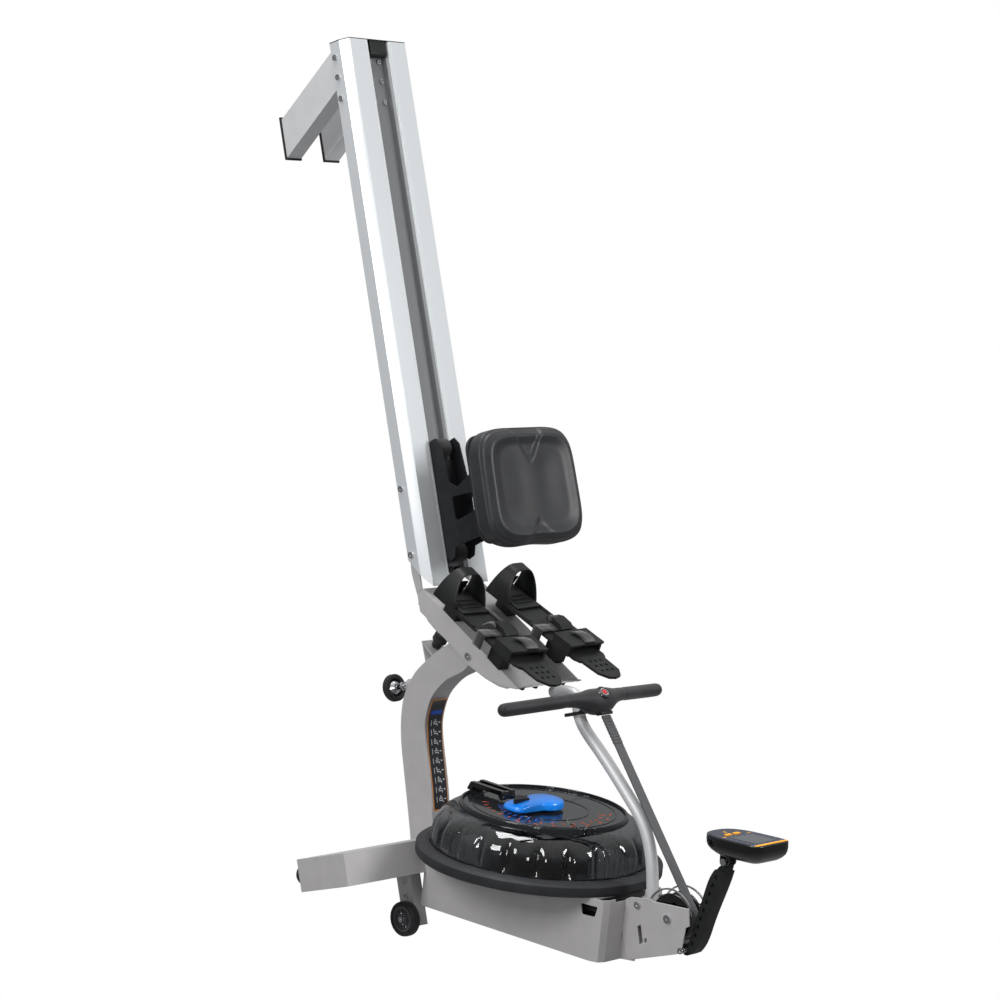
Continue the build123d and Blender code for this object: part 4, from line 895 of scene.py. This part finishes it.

# %% [markdown]
# The face's graphics are plain: a blue-black sheet, a pale line round the keys, a grey-green
# display window, and the stripe at the far end.

# %% Console face
# blue-black printed film of the console's face
face_film, shader = start_finish("blue_black_film", "#10182A", 0.22)
shader.inputs["Coat Weight"].default_value = 0.4
grain(face_film, shader, 4.0, 0.008, vary=("#0D1423", "#152038"))
bm = bmesh.new()
made = bmesh.ops.create_circle(bm, segments=96, radius=1.0, cap_ends=True)
for v in made["verts"]:
    v.co = (*console_outline(math.atan2(v.co.y, v.co.x), -4.4), -0.55)
bmesh.ops.solidify(bm, geom=bm.faces[:], thickness=-0.5)
finish_piece(bm, "console_face", CONSOLE, face_film, "console", smooth=False)

# grey display window under clear plastic
display_grey, shader = start_finish("display_window", "#3A3F44", 0.08)
shader.inputs["Coat Weight"].default_value = 0.8
grain(display_grey, shader, 8.0, 0.004, vary=("#353A3F", "#41474C"))
bm = bmesh.new()
block(bm, (62, 64, 0.6), (72, 0, 0.2))
finish_piece(bm, "display_window", CONSOLE, display_grey, "console",
             stands_for=["console_screen"], smooth=False, bevel_mm=0.25)

bm = bmesh.new()
block(bm, (8, 98, 0.7), (116, 0, 0.2))
for x, y, wide, long in ((30, -38, 1.8, 12), (30, 38, 1.8, 12), (0, 0, 8, 3)):
    block(bm, (wide, long, 0.5), (x, y, 0.15))
finish_piece(bm, "console_stripe", CONSOLE, key_orange, "console",
             smooth=False, bevel_mm=0.2)

# pale blue marks printed on the film
print_pale_blue, shader = start_finish("pale_blue_print", "#5E7FB5", 0.4)
grain(print_pale_blue, shader, 1.0, 0.005, vary=("#5677AD", "#6A8BC0"))
bm = bmesh.new()
for k in range(6):
    block(bm, (1.6, 7.5, 0.3), (107, -43 + 17.2 * k, 0.1))
    block(bm, (5.0, 1.5, 0.3), (34 + 3.2 * (k % 2), -42 + 16.8 * k, 0.1))
for k in range(4):
    block(bm, (2.2, 2.2, 0.3), (50 + 14 * k, -43, 0.1))
    block(bm, (2.2, 2.2, 0.3), (50 + 14 * k, 43, 0.1))
finish_piece(bm, "console_marks", CONSOLE, print_pale_blue, "console",
             smooth=False)

# %% [markdown]
# ## Exercise card on the arm
#
# A printed card is stuck down the hollow side of the arm: dark, with an orange border, a blue
# heading band and a column of little figures. The card's strip follows the arm's curve. Each
# figure is a few thin bars and a dot, in four poses, so nobody and nothing real is shown.

# %% Exercise card
ARM_INNER = [(-167, 181.6), (-163, 236), (-157, 289), (-152, 371), (-143, 426), (-131, 450),
             (-110, 477), (-85, 494), (-56, 507)]


def arm_point(r):
    """(u, slope) of the arm's hollow side at height r, smoothed between its measured points."""
    def straight(height):
        for (ua, ra), (ub, rb) in zip(ARM_INNER, ARM_INNER[1:]):
            if height <= rb:
                return ua + (ub - ua) * (height - ra) / (rb - ra)
        return ARM_INNER[-1][0]
    u = sum(straight(r + d) for d in (-14, -7, 0, 7, 14)) / 5
    return u, (straight(r + 12) - straight(r - 12)) / 24


def card_sheet(bm, y0, y1, r0, r1, lift, steps):
    made = bmesh.ops.create_grid(bm, x_segments=steps, y_segments=1, size=0.5)["verts"]
    for v in made:
        r = r0 + (r1 - r0) * (v.co.x + 0.5)
        u, slope = arm_point(r)
        v.co = (u + lift, y0 + (y1 - y0) * (v.co.y + 0.5), r - lift * slope)
    faces = list({f for v in made for f in v.link_faces})
    bmesh.ops.solidify(bm, geom=faces, thickness=0.25)


# dark printed card
card_dark, shader = start_finish("dark_printed_card", "#22252B", 0.3)
grain(card_dark, shader, 2.0, 0.006, vary=("#1E2126", "#292C33"))
# orange ink of its border
card_orange, shader = start_finish("orange_print", "#D98A2B", 0.35)
grain(card_orange, shader, 1.0, 0.005, vary=("#CF8124", "#E29434"))
bm = bmesh.new()
card_sheet(bm, -22.5, 22.5, 235, 470, 1.3, 60)
finish_piece(bm, "card_border", MACHINE, card_orange, "frame", smooth=False)
bm = bmesh.new()
card_sheet(bm, -20.6, 20.6, 237.2, 468, 1.6, 60)
finish_piece(bm, "card_sheet", MACHINE, card_dark, "frame", smooth=False)
bm = bmesh.new()
card_sheet(bm, -16, 16, 440, 448, 1.95, 6)
finish_piece(bm, "card_heading", MACHINE, print_blue, "frame", smooth=False)
bm = bmesh.new()
for row in range(9):
    centre = 422 - row * 20.5
    lean = (0.5, -0.3, 0.2, 0.6)[row % 4]
    strokes = ((-12, -10.6, -6, 6), (-4 + 6 * lean, -1 + 6 * lean, 4, 7), (-4, -2.6, -3, 3),
               (-2.6, 6, -3.6, -2.2), (6, 7.4, -7, -2), (-2, 5 + 3 * lean, 1, 2.2), (11, 16, -1, 1))
    for y0, y1, below, above in strokes:     # across from and to, and heights from the middle
        card_sheet(bm, y0, y1, centre + below, centre + above, 1.95, 2)
finish_piece(bm, "card_figures", MACHINE, print_white, "frame", smooth=False)

# %% [markdown]
# ## End of the script

# %% End
print("end of the script")
